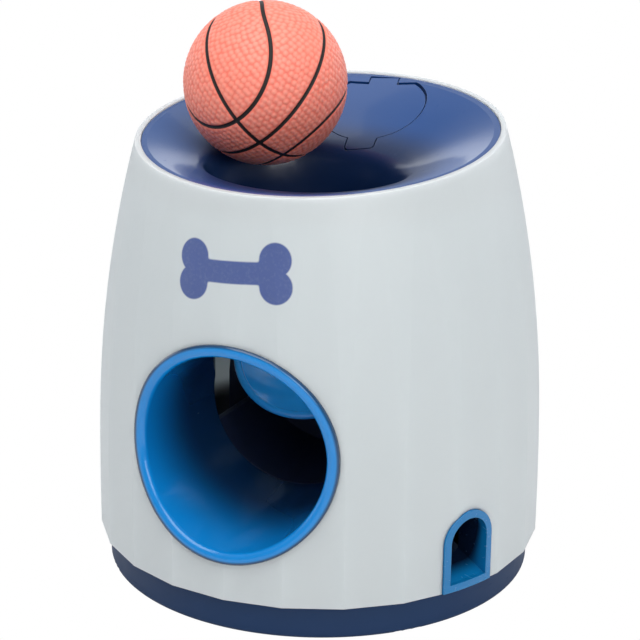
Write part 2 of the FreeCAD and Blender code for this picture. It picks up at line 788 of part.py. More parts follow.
def make_funnel():
    inset = d.lip_wall + d.funnel_fit
    top = d.funnel_blank_top
    plug = housing_cone(inset, d.lip_step, top)
    core = housing_cone(inset + d.skirt_wall, d.lip_step, top)
    pieces = [BOWL_UNDER.common(housing_cone(inset, d.throat_end, top)), plug.cut(core)]
    bosses = []
    for spot, foot, cover in funnel_bosses():
        head = rim_plane_height(spot.y) - cover
        bosses.append(cylinder(d.funnel_boss_radius, spot + UP * foot, spot + UP * head))
    pieces += [boss.common(housing_cone(inset, d.throat_end, top)) for boss in bosses]
    half = d.tab_width / 2 + d.lid_gap
    lug = Part.makeBox(d.hinge_lug_length, d.hinge_lug_width, d.hinge_lug_height)
    for start in (-half - d.hinge_lug_length, half):
        place = slope_frame(start, d.hinge_reach - d.hinge_lug_width / 2, -d.hinge_lug_drop)
        piece = lug.copy()
        piece.Placement = place
        pieces.append(piece.common(plug))
    shape = fuse_all(pieces).common(below_rim(d.rim_sink)).cut(BOWL_SPACE)
    barrel_space = cylinder(d.barrel_radius + d.lid_gap, *hinge_line(-half, half))
    shape = shape.cut([lid_prism(d.lid_gap, d.lid_cut_depth, d.lid_cut_rise), barrel_space])
    reach = half + d.hinge_lug_length - d.pin_cover
    pin_hole = cylinder(d.lid_pin_radius + d.running_gap, *hinge_line(-reach, reach))
    holes = [pin_hole]
    pilot = d.screw_radius + d.pilot_clearance
    depth = d.screw_length + d.pilot_extra
    for spots, seat in ((funnel_screw_spots(), d.lug_height), (hopper_ear_spots(), d.hopper_shoulder)):
        holes += [cylinder(pilot, spot, spot + UP * (seat + depth)) for spot in spots]
    return add_part("funnel_bowl", shape.cut(holes))


def make_lid():
    skin = BOWL_UNDER.cut(BOWL_SPACE)
    leaf = skin.common(lid_prism(0, d.lid_cut_depth, d.lid_cut_rise))
    half = d.tab_width / 2
    barrel = cylinder(d.barrel_radius, *hinge_line(-half, half))
    behind = block(Vector(-REACH, 0, -REACH), Vector(REACH, REACH, REACH))
    behind.Placement = slope_frame(0, d.hinge_reach, 0)
    leaf = leaf.cut(behind.cut(barrel)).fuse(barrel.cut(BOWL_SPACE)).removeSplitter()
    leaf = leaf.cut(cylinder(d.lid_pin_radius + d.press_gap, *hinge_line(-half, half)))
    lid = add_part("hopper_lid", leaf)
    reach = half + d.lid_gap + d.hinge_lug_length - d.pin_cover - d.opening_clearance
    pin = add_part("lid_pin", cylinder(d.lid_pin_radius, *hinge_line(-reach, reach)))
    return lid, pin


# Tunnel

def tunnel_cone(axis, wall):
    # the bore, or the sleeve round it, from in front of the mouth to the tunnel's inner end
    front = axis - BACK * (d.mouth_setback + d.mouth_overrun)
    end = axis - BACK * d.tunnel_end
    taper = (d.mouth_radius - d.tunnel_end_radius) / (d.mouth_setback - d.tunnel_end)
    front_radius = d.mouth_radius + taper * d.mouth_overrun
    return Part.makeCone(front_radius + wall, d.tunnel_end_radius + wall, (end - front).Length, front, BACK)


def rounded_plug(axis, bore):
    # everything the tunnel may fill: a plug whose front follows the housing, rounded at both rims
    front = axis - BACK * (d.mouth_setback + d.mouth_overrun)
    skin = housing_solid(-d.flange_proud, d.foot_height, d.lip_step)
    plug = cylinder(d.flange_radius, front, axis - BACK * d.tunnel_end).common(skin).cut(bore)
    for radius, rounding in ((d.flange_radius, d.flange_rounding), (d.mouth_radius, d.lip_rounding)):
        rims = []
        for edge in plug.Edges:
            middle = edge.valueAt((edge.FirstParameter + edge.LastParameter) / 2)
            out = math.hypot(middle.x, middle.y) - outline_point(middle.z, -d.flange_proud).x
            away = math.hypot(middle.x, middle.z - axis.z) - radius
            if abs(out) < d.press_gap and abs(away) < BITE:
                rims.append(edge)
        plug = plug.makeFillet(rounding, rims)
    return plug


def make_tunnel():
    axis = Vector(0, 0, d.tunnel_height)
    bore = tunnel_cone(axis, 0)
    plug = rounded_plug(axis, bore)
    straight = cylinder(d.mouth_radius + d.tunnel_wall, axis - BACK * REACH, axis)
    sleeve = tunnel_cone(axis, d.tunnel_wall).common(straight).common(plug)
    flange = plug.cut(housing_solid(0, d.foot_height - 1, d.lip_step + 1))
    # the roof gives way to the falling ball
    throat_axis = Vector(0, d.throat_setback, d.tunnel_height)
    fall = cylinder(d.throat_radius + d.fall_clearance, throat_axis, throat_axis + UP * REACH)
    shape = sleeve.fuse(flange).removeSplitter().cut(fall)
    # pedestal on the base, with its two screw posts
    half = d.pedestal_half
    top = d.tunnel_height - d.tunnel_end_radius + d.boss_radius
    low = Vector(-half, d.pedestal_setback - d.pedestal_wall / 2, SEAT)
    posts = [block(low, Vector(half, d.pedestal_setback + d.pedestal_wall / 2, top))]
    for spot in tunnel_screw_spots():
        posts.append(cylinder(d.boss_radius, spot + UP * SEAT, spot + UP * top))
    shape = fuse_all([shape] + posts).cut(bore)
    return add_part("ball_tunnel", shape.cut(floor_pilots(tunnel_screw_spots())))


def floor_pilots(spots):
    top = FLOOR_SEAT + d.screw_length + d.pilot_extra
    return [cylinder(d.screw_radius + d.pilot_clearance, spot, spot + UP * top) for spot in spots]


def pad_clearances(spots):
    radius = d.seat_pad_radius + d.opening_clearance
    return [cylinder(radius, spot, spot + UP * SEAT) for spot in spots]


def tunnel_screw_spots():
    return [Vector(side * d.pedestal_half, d.pedestal_setback, 0) for side in (-1, 1)]


# Treat chute

def make_chute():
    outer = arch_prism(d.chute_half_width, d.foot_height, d.chute_top, d.chute_duct_end, REACH)
    inner_half = d.chute_half_width - d.chute_frame
    sill = d.foot_height + d.chute_frame
    inner = arch_prism(inner_half, sill, d.chute_top - d.chute_frame, 0, REACH)
    face = cylinder(d.chute_face_radius, Vector(), UP * REACH)
    duct = outer.cut(inner).common(face)
    # sloping pan behind the arch, open on the slide's side
    rise = math.tan(math.radians(d.chute_floor_slope))
    start = d.chute_inner_end
    lip = d.chute_face_radius - d.pan_setback
    top_back = sill + (lip - start) * rise
    wall = d.pan_wall
    corners = [(start, top_back - wall), (lip, sill - wall), (lip, sill), (start, top_back)]
    points = [Vector(x, -inner_half - wall / 2, z) for x, z in corners]
    pan = Part.Face(Part.makePolygon(points + points[:1])).extrude(BACK * (2 * inner_half + wall))
    side_top = d.chute_top - d.chute_half_width
    side_end = d.chute_duct_end + 2 * BITE
    corners = [(start, top_back - wall), (side_end, sill - wall), (side_end, side_top), (start, side_top)]
    points = [Vector(x, -inner_half - wall, z) for x, z in corners]
    cheek = Part.Face(Part.makePolygon(points + points[:1])).extrude(BACK * wall)
    back = block(Vector(start - wall, -inner_half - wall, top_back - wall),
                 Vector(start, inner_half, top_back + d.pan_back_rise))
    leg_x = start + d.pan_leg_inset
    leg_top = sill + (lip - leg_x) * rise - 2 * BITE
    leg = block(Vector(leg_x, -d.pan_leg_half, FLOOR), Vector(leg_x + wall, d.pan_leg_half, leg_top))
    shape = fuse_all([duct, pan, cheek, back, leg])
    clear = housing_solid(d.shell_wall + d.rest_gap, d.foot_height - d.pan_wall, d.lip_step)
    shape = shape.common(clear.fuse([outer, leg]))
    shape = turned(shape, d.chute_angle)
    return add_part("treat_chute", shape)


# Base

def make_base():
    body = doc.addObject("PartDesign::Body", "base_blank")
    sketch = new_sketch(body, "tray_profile", "XZ_Plane")
    under = size("foot_proud")
    floor = size("foot_proud", "base_floor")
    rim = size("foot_height")
    collar_top = size("foot_height", "collar_height")
    outer = size("base_radius")
    inner = size("base_radius", "-base_wall")
    collar = size("base_radius", "collar_fit", "collar_fit")
    corners = [
        (None, under), (outer, under), (outer, rim), (collar, rim), (collar, collar_top),
        (inner, collar_top), (inner, floor), (None, floor),
    ]
    polygon(sketch, corners)
    revolve(body, "tray_turned", sketch)

    around = Rotation(UP, 45)
    post = new_sketch(body, "post_ring", "XY_Plane", Placement(Vector(0, 0, d.foot_proud), around))
    post.setExpression("AttachmentOffset.Base.z", "dims.foot_proud")
    circle(post, size("boss_circle"), None, size("post_radius"))
    post_pad = pad(body, "post", post, size("seat_height", "-foot_proud"))
    polar_pattern(body, "posts", [post_pad], 4)

    hole = new_sketch(body, "post_hole", "XY_Plane", Placement(Vector(), around))
    circle(hole, size("boss_circle"), None, size("clearance_hole_radius"))
    hole_cut = pocket_through(body, "post_bore", hole, True)
    head = new_sketch(body, "head_recess", "XY_Plane", Placement(Vector(), around))
    circle(head, size("boss_circle"), None, size("counterbore_radius"))
    head_cut = body.newObject("PartDesign::Pocket", "head_pocket")
    head_cut.Profile = head
    head_cut.Reversed = True
    head_cut.Length = BASE_SEAT
    head_cut.setExpression("Length", "dims.foot_proud + 3 * dims.screw_head_height")
    polar_pattern(body, "post_bores", [hole_cut, head_cut], 4)

    feet = new_sketch(body, "foot_recess", "XY_Plane")
    circle(feet, size("rubber_foot_circle"), None, size("rubber_foot_radius", "press_gap"))
    feet_cut = body.newObject("PartDesign::Pocket", "foot_pocket")
    feet_cut.Profile = feet
    feet_cut.Reversed = True
    depth = size("rubber_foot_height")
    feet_cut.Length = depth[0]
    feet_cut.setExpression("Length", depth[1])
    polar_pattern(body, "foot_recesses", [feet_cut], 4)
    doc.recompute()

    # holes for the screws of what stands on the floor, and the notch behind the chute
    shape = body.Shape.copy()
    tools = []
    pads = []
    for spot in frame_screw_spots() + tunnel_screw_spots() + slide_screw_spots():
        pads.append(cylinder(d.seat_pad_radius, spot + UP * (FLOOR - 1), spot + UP * SEAT))
        tools.append(cylinder(d.clearance_hole_radius, spot, spot + UP * d.seat_height))
        tools.append(cylinder(d.counterbore_radius, spot, spot + UP * FLOOR_SEAT))
    notch = arch_prism(d.chute_half_width + d.opening_clearance, d.foot_height - d.opening_clearance,
                       d.chute_top, d.chute_duct_end - 1, REACH)
    tools.append(turned(notch, d.chute_angle))
    shape = fuse_all([shape] + pads).cut(tools)
    lower = [edge for edge in shape.Edges if abs(edge.CenterOfMass.z - d.foot_proud) < 1e-4
             and edge.Curve.TypeId == "Part::GeomCircle" and edge.Curve.Radius > d.base_radius - 1]
    shape = shape.makeFillet(d.base_rounding, lower)
    return add_part("base_tray", shape)


def frame_screw_spots():
    left = d.frame_left + d.cheek_wall / 2
    right = d.frame_right - d.cheek_wall / 2
    rows = (d.cheek_front + d.cheek_screw_front, d.cheek_back - d.cheek_screw_back)
    return [Vector(x, y, 0) for x in (left, right) for y in rows]


def make_feet():
    foot = Part.makeCylinder(d.rubber_foot_radius, d.rubber_foot_height)
    edge = [item for item in foot.Edges if item.CenterOfMass.z < 0.1 and item.Closed]
    foot = foot.makeChamfer(d.rubber_foot_chamfer, edge)
    copies = [foot.translated(on_circle(d.rubber_foot_circle, 90 * index)) for index in range(4)]
    return add_part("rubber_feet", Part.makeCompound(copies))


# Rocker frame

def shaft_spot(x):
    return Vector(x, d.shaft_y, d.shaft_height)


def cheek_outline():
    head = d.shaft_height + d.cheek_head
    return [
        (d.cheek_front, FLOOR),
        (d.cheek_back, FLOOR),
        (d.cheek_back, FLOOR + d.cheek_foot),
        (d.tie_y + d.tie_margin, d.tie_height + d.tie_cover),
        (d.shaft_y + d.cheek_head_half, head),
        (d.shaft_y - d.cheek_head_half, head),
        (d.cheek_front, d.guard_top),
    ]


def make_frame():
    tilt = math.radians(d.trough_tilt)
    along = Vector(0, math.cos(tilt), math.sin(tilt))
    start = Vector(0, d.trough_front, d.trough_axis_height) - along * d.trough_wall * 4
    end = start + along * (d.cheek_front - d.trough_front + d.trough_wall * 6)
    hollow = cylinder(d.trough_radius, start, end)
    trough = cylinder(d.trough_radius + d.trough_wall, start, end).cut(hollow)
    low = Vector(-REACH, d.trough_front, 0)
    trough = trough.common(block(low, Vector(REACH, d.cheek_front + BITE, d.trough_top)))
    guard = block(Vector(d.frame_left, d.cheek_front, FLOOR),
                  Vector(d.frame_right, d.cheek_front + d.cheek_wall, d.guard_top))
    leg_y = d.trough_front + d.trough_leg_inset
    leg = block(Vector(-d.trough_leg_half, leg_y, FLOOR),
                Vector(d.trough_leg_half, leg_y + d.cheek_wall, d.trough_leg_top))
    leg = leg.cut(hollow)
    cheeks = []
    for outside, inward in ((d.frame_left, 1), (d.frame_right, -1)):
        inside = outside + inward * d.cheek_wall
        boss_end = outside - inward * d.cheek_boss
        cheeks.append(plate_across(cheek_outline(), min(outside, inside), max(outside, inside)))
        cheeks.append(cylinder(d.cheek_boss_radius, shaft_spot(boss_end), shaft_spot(inside)))
    tie_spot = Vector(0, d.tie_y, d.tie_height)
    tie = cylinder(d.tie_radius, tie_spot + ACROSS * d.frame_left, tie_spot + ACROSS * d.frame_right)
    posts = [cylinder(d.boss_radius, spot + UP * FLOOR, spot + UP * (FLOOR + d.cheek_screw_post))
             for spot in frame_screw_spots()]
    shape = fuse_all([trough, guard, leg, tie] + cheeks + posts)
    holes = [cylinder(d.bush_radius + d.press_gap, shaft_spot(-REACH), shaft_spot(REACH))]
    holes += floor_pilots(frame_screw_spots()) + pad_clearances(frame_screw_spots())
    return add_part("rocker_frame", shape.cut(holes))


def make_bushes():
    bushes = []
    for outside, inward in ((d.frame_left, 1), (d.frame_right, -1)):
        inside = shaft_spot(outside + inward * d.cheek_wall)
        boss_end = shaft_spot(outside - inward * d.cheek_boss)
        flange_end = inside + ACROSS * (inward * d.bush_flange)
        sleeve = cylinder(d.bush_radius, boss_end, inside)
        flange = cylinder(d.bush_flange_radius, inside, flange_end)
        bore = cylinder(d.shaft_radius + d.running_gap, boss_end, flange_end)
        bushes.append(sleeve.fuse(flange).cut(bore).removeSplitter())
    return add_part("shaft_bushes", Part.makeCompound(bushes))


def make_stop_pad():
    spot = Vector(0, d.tie_y, d.tie_height)
    side = ACROSS * d.pad_half_length
    pad_shape = tube(d.pad_radius, d.tie_radius + d.press_gap, spot - side, spot + side)
    return add_part("stop_pad", pad_shape)


# Rocker

def dish_place():
    return Placement(Vector(0, d.dish_y, d.dish_height), Rotation(ACROSS, d.dish_tilt))


def bowl_radius():
    # radius of the sphere that a cap of this width and depth is cut from
    inner = d.dish_radius - d.dish_wall
    return (inner ** 2 + d.dish_depth ** 2) / (2 * d.dish_depth)


def dish_arm():
    # the plate between the bowl's back and the hub
    under = dish_place().multVec(Vector(0, -d.dish_wall, BITE - d.dish_depth - d.dish_wall))
    rear = dish_place().multVec(Vector(0, d.dish_radius - d.web_half_width, -2 * BITE))
    low = (d.shaft_y + BITE, d.shaft_height - d.hub_radius + BITE)
    high = (d.shaft_y + BITE, d.shaft_height + d.hub_radius - BITE)
    corners = [(under.y, under.z), low, high, (rear.y, rear.z)]
    return plate_across(corners, -d.web_half_width, d.web_half_width)


def dish_tail():
    # the plate behind the hub, which carries the weight and comes to rest over the stop pad
    rest = d.tie_height + d.pad_radius + d.rest_gap
    corners = [
        (d.shaft_y, d.shaft_height - d.hub_radius + BITE),
        (d.tie_y - d.tie_radius, rest),
        (d.weight_y - d.weight_ring_wall, rest),
        (d.weight_y, d.weight_height + d.weight_radius - d.weight_ring_wall),
        (d.shaft_y, d.shaft_height + d.hub_radius - BITE),
    ]
    return plate_across(corners, -d.web_half_width, d.web_half_width)


def make_dish():
    curve = bowl_radius()
    centre = Vector(0, 0, curve - d.dish_depth)
    hollow = Part.makeSphere(curve, centre)
    cap = Part.makeSphere(curve + d.dish_wall, centre)
    below = Part.makeCylinder(d.dish_radius + d.dish_lip, curve, Vector(0, 0, -curve))
    bowl = cap.common(below)
    lip = Part.makeTorus(d.dish_radius - d.dish_wall / 2, d.dish_wall / 2 + d.dish_lip)
    for piece in (bowl, lip, hollow):
        piece.Placement = dish_place()
    hub = cylinder(d.hub_radius, shaft_spot(-d.hub_half_length), shaft_spot(d.hub_half_length))
    weight = Vector(0, d.weight_y, d.weight_height)
    ring_radius = d.weight_radius + d.weight_ring_wall
    ring_half = d.weight_half_length - d.weight_overhang
    ring = cylinder(ring_radius, weight - ACROSS * ring_half, weight + ACROSS * ring_half)
    shape = bowl.fuse([hub, dish_arm(), dish_tail(), ring]).cut(hollow)
    shape = shape.fuse(lip).removeSplitter()
    seat = cylinder(d.weight_radius + d.press_gap, weight - ACROSS * REACH, weight + ACROSS * REACH)
    bore = cylinder(d.shaft_radius + d.press_gap, shaft_spot(-REACH), shaft_spot(REACH))
    return add_part("ball_dish", shape.cut([seat, bore]))


def make_counterweight():
    weight = Vector(0, d.weight_y, d.weight_height)
    side = ACROSS * d.weight_half_length
    bar = cylinder(d.weight_radius, weight - side, weight + side)
    rims = [edge for edge in bar.Edges if edge.Closed]
    return add_part("counterweight", bar.makeChamfer(d.weight_chamfer, rims))


def clip_spots():
    left = d.frame_left - d.cheek_boss - d.rest_gap - d.clip_thickness
    return [left, d.gate_right + d.rest_gap / 3]


def make_shaft():
    body = doc.addObject("PartDesign::Body", "rocker_shaft")
    sketch = new_sketch(body, "shaft_section", "YZ_Plane")
    circle(sketch, size("shaft_y"), size("shaft_height"), size("shaft_radius"))
    sketch.AttachmentOffset = Placement(Vector(0, 0, d.shaft_left), Rotation())
    sketch.setExpression("AttachmentOffset.Base.z", "dims.shaft_left")
    pad(body, "shaft_bar", sketch, size("shaft_right", "-shaft_left"))
    for index, spot in enumerate(clip_spots()):
        place = Placement(Vector(0, 0, spot - d.running_gap), Rotation())
        groove = new_sketch(body, f"groove_section_{index}", "YZ_Plane", place)
        circle(groove, size("shaft_y"), size("shaft_height"), size("shaft_radius", "shaft_radius"))
        circle(groove, size("shaft_y"), size("shaft_height"), size("clip_groove"))
        cut = body.newObject("PartDesign::Pocket", f"clip_groove_{index}")
        cut.Profile = groove
        cut.Reversed = True
        cut.Length = d.clip_thickness + 2 * d.running_gap
    return body


def make_clips():
    clips = []
    for spot in clip_spots():
        start = shaft_spot(spot)
        end = shaft_spot(spot + d.clip_thickness)
        ring = tube(d.clip_radius, d.clip_groove + d.press_gap, start, end)
        half = d.clip_mouth / 2
        low = start - Vector(d.clip_thickness, half, d.hub_radius)
        mouth = block(low, end + Vector(d.clip_thickness, half, 0))
        clips.append(ring.cut(mouth))
    return add_part("shaft_clips", Part.makeCompound(clips))


def gate_sector(outer, inner, left, right):
    # part of a ring about the shaft, between the gate's two angles measured from +Y
    angle = math.radians(d.gate_start)
    out = Vector(0, math.cos(angle), math.sin(angle))
    corners = [shaft_spot(x) + out * radius for x, radius in
               ((left, inner), (right, inner), (right, outer), (left, outer))]
    section = Part.Face(Part.makePolygon(corners + corners[:1]))
    return section.revolve(shaft_spot(0), ACROSS, d.gate_end - d.gate_start)


def make_gate():
    shutter = gate_sector(d.gate_radius, d.gate_radius - d.gate_wall, d.gate_left, d.gate_right)
    left_side = gate_sector(d.gate_radius, d.shaft_radius, d.gate_left, d.gate_left + d.gate_side)
    right_side = gate_sector(d.gate_radius, d.shaft_radius, d.gate_right - d.gate_side, d.gate_right)
    hub = cylinder(d.gate_hub_radius, shaft_spot(d.gate_left), shaft_spot(d.gate_right))
    shape = fuse_all([shutter, left_side, right_side, hub])
    bore = cylinder(d.shaft_radius + d.press_gap, shaft_spot(-REACH), shaft_spot(REACH))
    return add_part("dosing_gate", shape.cut(bore))


# Hopper and slide

def hopper_body(shrink):
    bin_radius = d.hopper_radius - shrink
    spout_radius = d.spout_radius - shrink
    lid_spot = Vector(d.lid_x, d.lid_y, 0)
    spout_spot = Vector(d.spout_x, d.spout_y, 0)
    upper = cylinder(bin_radius, lid_spot + UP * d.hopper_shoulder, lid_spot + UP * d.hopper_top)
    wide = Part.Wire(Part.makeCircle(bin_radius, lid_spot + UP * d.hopper_shoulder))
    narrow = Part.Wire(Part.makeCircle(spout_radius, spout_spot + UP * d.spout_top))
    hopper_slope = Part.makeLoft([wide, narrow], True, True)
    spout = cylinder(spout_radius, spout_spot + UP * d.spout_end, spout_spot + UP * d.spout_top)
    return fuse_all([upper, hopper_slope, spout])


def make_hopper():
    shell = hopper_body(0)
    foot = d.hopper_shoulder
    head = foot + d.ear_thickness
    for spot in hopper_ear_spots():
        low = Vector(min(spot.x, d.lid_x), spot.y - d.ear_width / 2, foot)
        high = Vector(max(spot.x, d.lid_x), spot.y + d.ear_width / 2, head)
        tip = cylinder(d.ear_width / 2, spot + UP * foot, spot + UP * head)
        shell = shell.fuse([block(low, high), tip])
    shell = shell.cut(hopper_body(d.hopper_wall))
    inset = d.lip_wall + d.funnel_fit + d.skirt_wall + d.opening_clearance
    shell = shell.common(housing_cone(inset, d.shaft_height, d.blank_top)).common(below_rim(d.rim_sink))
    # the bin's rim follows the underside of the bowl, and stays clear of the throat and the hinge
    over = bowl_loft(d.funnel_wall + d.lid_gap, d.funnel_drop + d.lid_gap)
    shell = shell.cut(over)
    half = d.tab_width / 2 + d.lid_gap + d.hinge_lug_length + d.gate_gap
    near = d.hinge_reach - d.hinge_room
    hinge_space = block(Vector(-half, near, 0), Vector(half, near + d.lid_radius, 2 * d.hinge_room))
    hinge_space.Placement = slope_frame(0, 0, -d.hinge_room_depth)
    gate_start = shaft_spot(d.gate_left - d.gate_room)
    gate_space = cylinder(d.gate_radius + d.gate_gap, gate_start, shaft_spot(d.gate_right + d.gate_room))
    holes = [hinge_space, gate_space]
    for spot in hopper_ear_spots():
        holes.append(cylinder(d.clearance_hole_radius, spot + UP * foot, spot + UP * head))
    return add_part("treat_hopper", shell.cut(holes))


def slide_ends():
    top = Vector(d.slide_top_x, d.slide_top_y, d.slide_top)
    angle = math.radians(d.chute_angle)
    outward = Vector(math.cos(angle), math.sin(angle), 0)
    left = Vector(-math.sin(angle), math.cos(angle), 0)
    foot = outward * (d.chute_inner_end + d.slide_overlap) + left * (d.chute_half_width - 2 * BITE)
    foot.z = d.slide_foot
    return top, foot


def slide_posts():
    top, foot = slide_ends()
    return [foot + (top - foot) * share for share in (d.slide_lower_post, d.slide_upper_post)]


def slide_screw_spots():
    return [Vector(spot.x, spot.y, 0) for spot in slide_posts()]


def slide_post_tops():
    return [spot.z + d.slide_post_rise for spot in slide_posts()]


def make_slide():
    top, foot = slide_ends()
    run = top - foot
    level = Vector(run.x, run.y, 0)
    pitch = math.degrees(math.atan2(run.z, level.Length))
    heading = math.degrees(math.atan2(level.y, level.x))
    half = d.slide_width / 2
    floor_plate = block(Vector(0, -half, 0), Vector(run.Length, half, d.slide_wall))
    sides = [block(Vector(0, y, 0), Vector(run.Length, y + d.slide_wall, d.slide_side))
             for y in (-half, half - d.slide_wall)]
    end_wall = block(Vector(run.Length - d.slide_wall, -half, 0), Vector(run.Length, half, d.slide_side))
    channel = fuse_all([floor_plate, end_wall] + sides)
    channel.Placement = Placement(foot, Rotation(UP, heading).multiply(Rotation(BACK, -pitch)))
    above = block(Vector(-half, -half, d.slide_wall / 2), Vector(run.Length + half, half, run.Length))
    above.Placement = channel.Placement
    posts = []
    for spot, height in zip(slide_screw_spots(), slide_post_tops()):
        posts.append(cylinder(d.slide_post_radius, spot + UP * SEAT, spot + UP * height).cut(above))
    shape = fuse_all([channel] + posts)
    return add_part("treat_slide", shape.cut(floor_pilots(slide_screw_spots())))


# Screws

def screw():
    # head below, shank upward, the underside of the head at height 0
    low = Vector(0, 0, -d.screw_head_height)
    head = Part.makeCylinder(d.screw_head_radius, d.screw_head_height, low)
    rim = [edge for edge in head.Edges if edge.Closed and edge.CenterOfMass.z < -BITE]
    head = head.makeChamfer(d.screw_chamfer, rim)
    shank = Part.makeCylinder(d.screw_radius, d.screw_length)
    tip = [edge for edge in shank.Edges if edge.Closed and edge.CenterOfMass.z > BITE]
    shank = shank.makeChamfer(d.screw_chamfer, tip)
    long = d.cross_half_length
    narrow = d.cross_half_width
    depth = d.cross_depth - d.screw_head_height
    arms = ((narrow, long), (long, narrow))
    slots = [block(Vector(-x, -y, -REACH), Vector(x, y, depth)) for x, y in arms]
    return head.fuse(shank).removeSplitter().cut(slots)


def make_screws(label, spots, seat_height):
    one = screw()
    copies = [one.translated(Vector(spot.x, spot.y, seat_height)) for spot in spots]
    return add_part(label, Part.makeCompound(copies))


# Ball

def make_ball():
    middle = Vector(d.ball_x, d.ball_y, d.ball_height)
    ball = Part.makeSphere(d.ball_radius).cut(Part.makeSphere(d.ball_radius - d.ball_wall))
    grooves = []
    for normal in (Vector(1, 0, 0), Vector(0, 0, 1)):
        grooves.append(Part.makeTorus(d.ball_radius, d.seam_radius, Vector(), normal))
    ball = ball.cut(grooves)
    ball.Placement = Placement(middle, Rotation())
    return add_part("play_ball", ball)


parts = {}


def keep(feature, label=None):
    parts[label or feature.Label] = feature


keep(make_outer_shell(), "outer_shell")
keep(make_funnel())
for piece in make_lid():
    keep(piece)
keep(make_tunnel())
keep(make_chute())
keep(make_base())
keep(make_feet())
keep(make_frame())
keep(make_bushes())
keep(make_stop_pad())
keep(make_dish())
keep(make_counterweight())
keep(make_shaft(), "rocker_shaft")
keep(make_clips())
keep(make_gate())
keep(make_hopper())
keep(make_slide())
post_spots = [on_circle(d.boss_circle, 45 + 90 * index) for index in range(4)]
keep(make_screws("base_screws", post_spots, BASE_SEAT))
keep(make_screws("frame_screws", frame_screw_spots(), FLOOR_SEAT))
keep(make_screws("tunnel_screws", tunnel_screw_spots(), FLOOR_SEAT))
keep(make_screws("slide_screws", slide_screw_spots(), FLOOR_SEAT))
keep(make_screws("funnel_screws", funnel_screw_spots(), d.lug_height))
keep(make_screws("hopper_screws", hopper_ear_spots(), d.hopper_shoulder))
keep(make_ball())

doc.recompute()
broken = [item.Label for item in doc.Objects if "Invalid" in item.State or "Error" in item.State]
if broken:
    raise RuntimeError("did not rebuild: " + ", ".join(broken))
for label, part in parts.items():
    if part.Shape.isNull() or not part.Shape.isValid():
        raise RuntimeError(f"{label} has no valid shape")

os.makedirs("parts", exist_ok=True)
triangles = 0
for label, part in parts.items():
    part.Shape.exportStep(f"parts/{label}.step")
    facets = part.Shape.tessellate(0.1)[1]
    triangles += len(facets)
    box = part.Shape.BoundBox
    print(f"{label:16s} solids {len(part.Shape.Solids)}  volume {part.Shape.Volume:10.1f}  "
          f"facets {len(facets):6d}  z {box.ZMin:7.2f} to {box.ZMax:7.2f}")
print("facets in all", triangles)
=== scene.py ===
# Looks of the ball and treat tower: a pebbled rubber ball on a dark blue funnel, a pale faceted housing,
# a glossy blue tunnel and an arched treat chute.
import json
import math
import random

import bmesh
import bpy
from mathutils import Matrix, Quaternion, Vector
from mathutils.kdtree import KDTree


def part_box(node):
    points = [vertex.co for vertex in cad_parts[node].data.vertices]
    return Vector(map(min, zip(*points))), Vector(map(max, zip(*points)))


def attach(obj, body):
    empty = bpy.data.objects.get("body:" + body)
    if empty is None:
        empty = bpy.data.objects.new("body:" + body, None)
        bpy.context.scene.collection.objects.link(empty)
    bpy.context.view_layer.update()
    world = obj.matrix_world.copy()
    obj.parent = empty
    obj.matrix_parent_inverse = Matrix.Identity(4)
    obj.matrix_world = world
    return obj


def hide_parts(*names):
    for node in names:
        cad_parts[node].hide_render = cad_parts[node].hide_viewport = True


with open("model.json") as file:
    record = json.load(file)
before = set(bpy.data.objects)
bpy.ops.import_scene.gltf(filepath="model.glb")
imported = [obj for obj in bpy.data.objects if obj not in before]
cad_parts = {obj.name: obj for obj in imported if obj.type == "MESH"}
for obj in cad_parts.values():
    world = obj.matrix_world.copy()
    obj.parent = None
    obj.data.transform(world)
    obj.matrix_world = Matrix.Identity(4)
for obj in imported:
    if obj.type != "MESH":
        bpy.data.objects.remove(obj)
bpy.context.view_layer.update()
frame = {"nodes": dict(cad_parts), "record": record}

mm = 0.001


# Small helpers

def hexColor(text):
    values = [int(text[i:i + 2], 16) / 255 for i in (1, 3, 5)]
    linear = [v / 12.92 if v <= 0.04045 else ((v + 0.055) / 1.055) ** 2.4 for v in values]
    return (*linear, 1.0)


def addNode(tree, kind, settings=None, links=None):
    node = tree.nodes.new(kind)
    for key, value in (settings or {}).items():
        if isinstance(key, int) or key in node.inputs:
            node.inputs[key].default_value = value
        else:
            setattr(node, key, value)
    for key, (source, output) in (links or {}).items():
        tree.links.new(source.outputs[output], node.inputs[key])
    return node


def addNoise(tree, place, size, detail=2.0):
    # cloudy pattern that repeats about once in this many millimetres
    return addNode(tree, "ShaderNodeTexNoise", {"Scale": 1 / (size * mm), "Detail": detail},
                   {"Vector": place})


def addStep(tree, value, start, full):
    # soft step: nothing up to the first value, everything from the second one on
    return addNode(tree, "ShaderNodeMapRange", {"interpolation_type": "SMOOTHSTEP",
                                                "From Min": start, "From Max": full},
                   {"Value": value})


def addLayer(tree, mask, under, color):
    # one colour laid over another where the mask is 1
    return addNode(tree, "ShaderNodeMix", {"data_type": "RGBA", 7: hexColor(color)}, {0: mask, 6: under})


def addTwoTone(tree, mask, first, second):
    return addNode(tree, "ShaderNodeMix", {"data_type": "RGBA", 6: first, 7: second}, {0: mask})


def emptyMaterial(name):
    material = bpy.data.materials.new(name)
    material.use_nodes = True
    material.node_tree.nodes.clear()
    return material, material.node_tree


def finishMaterial(tree, surface, output="BSDF"):
    addNode(tree, "ShaderNodeOutputMaterial", None, {"Surface": (surface, output)})


def dress(piece, material):
    piece.data.materials.clear()
    piece.data.materials.append(material)


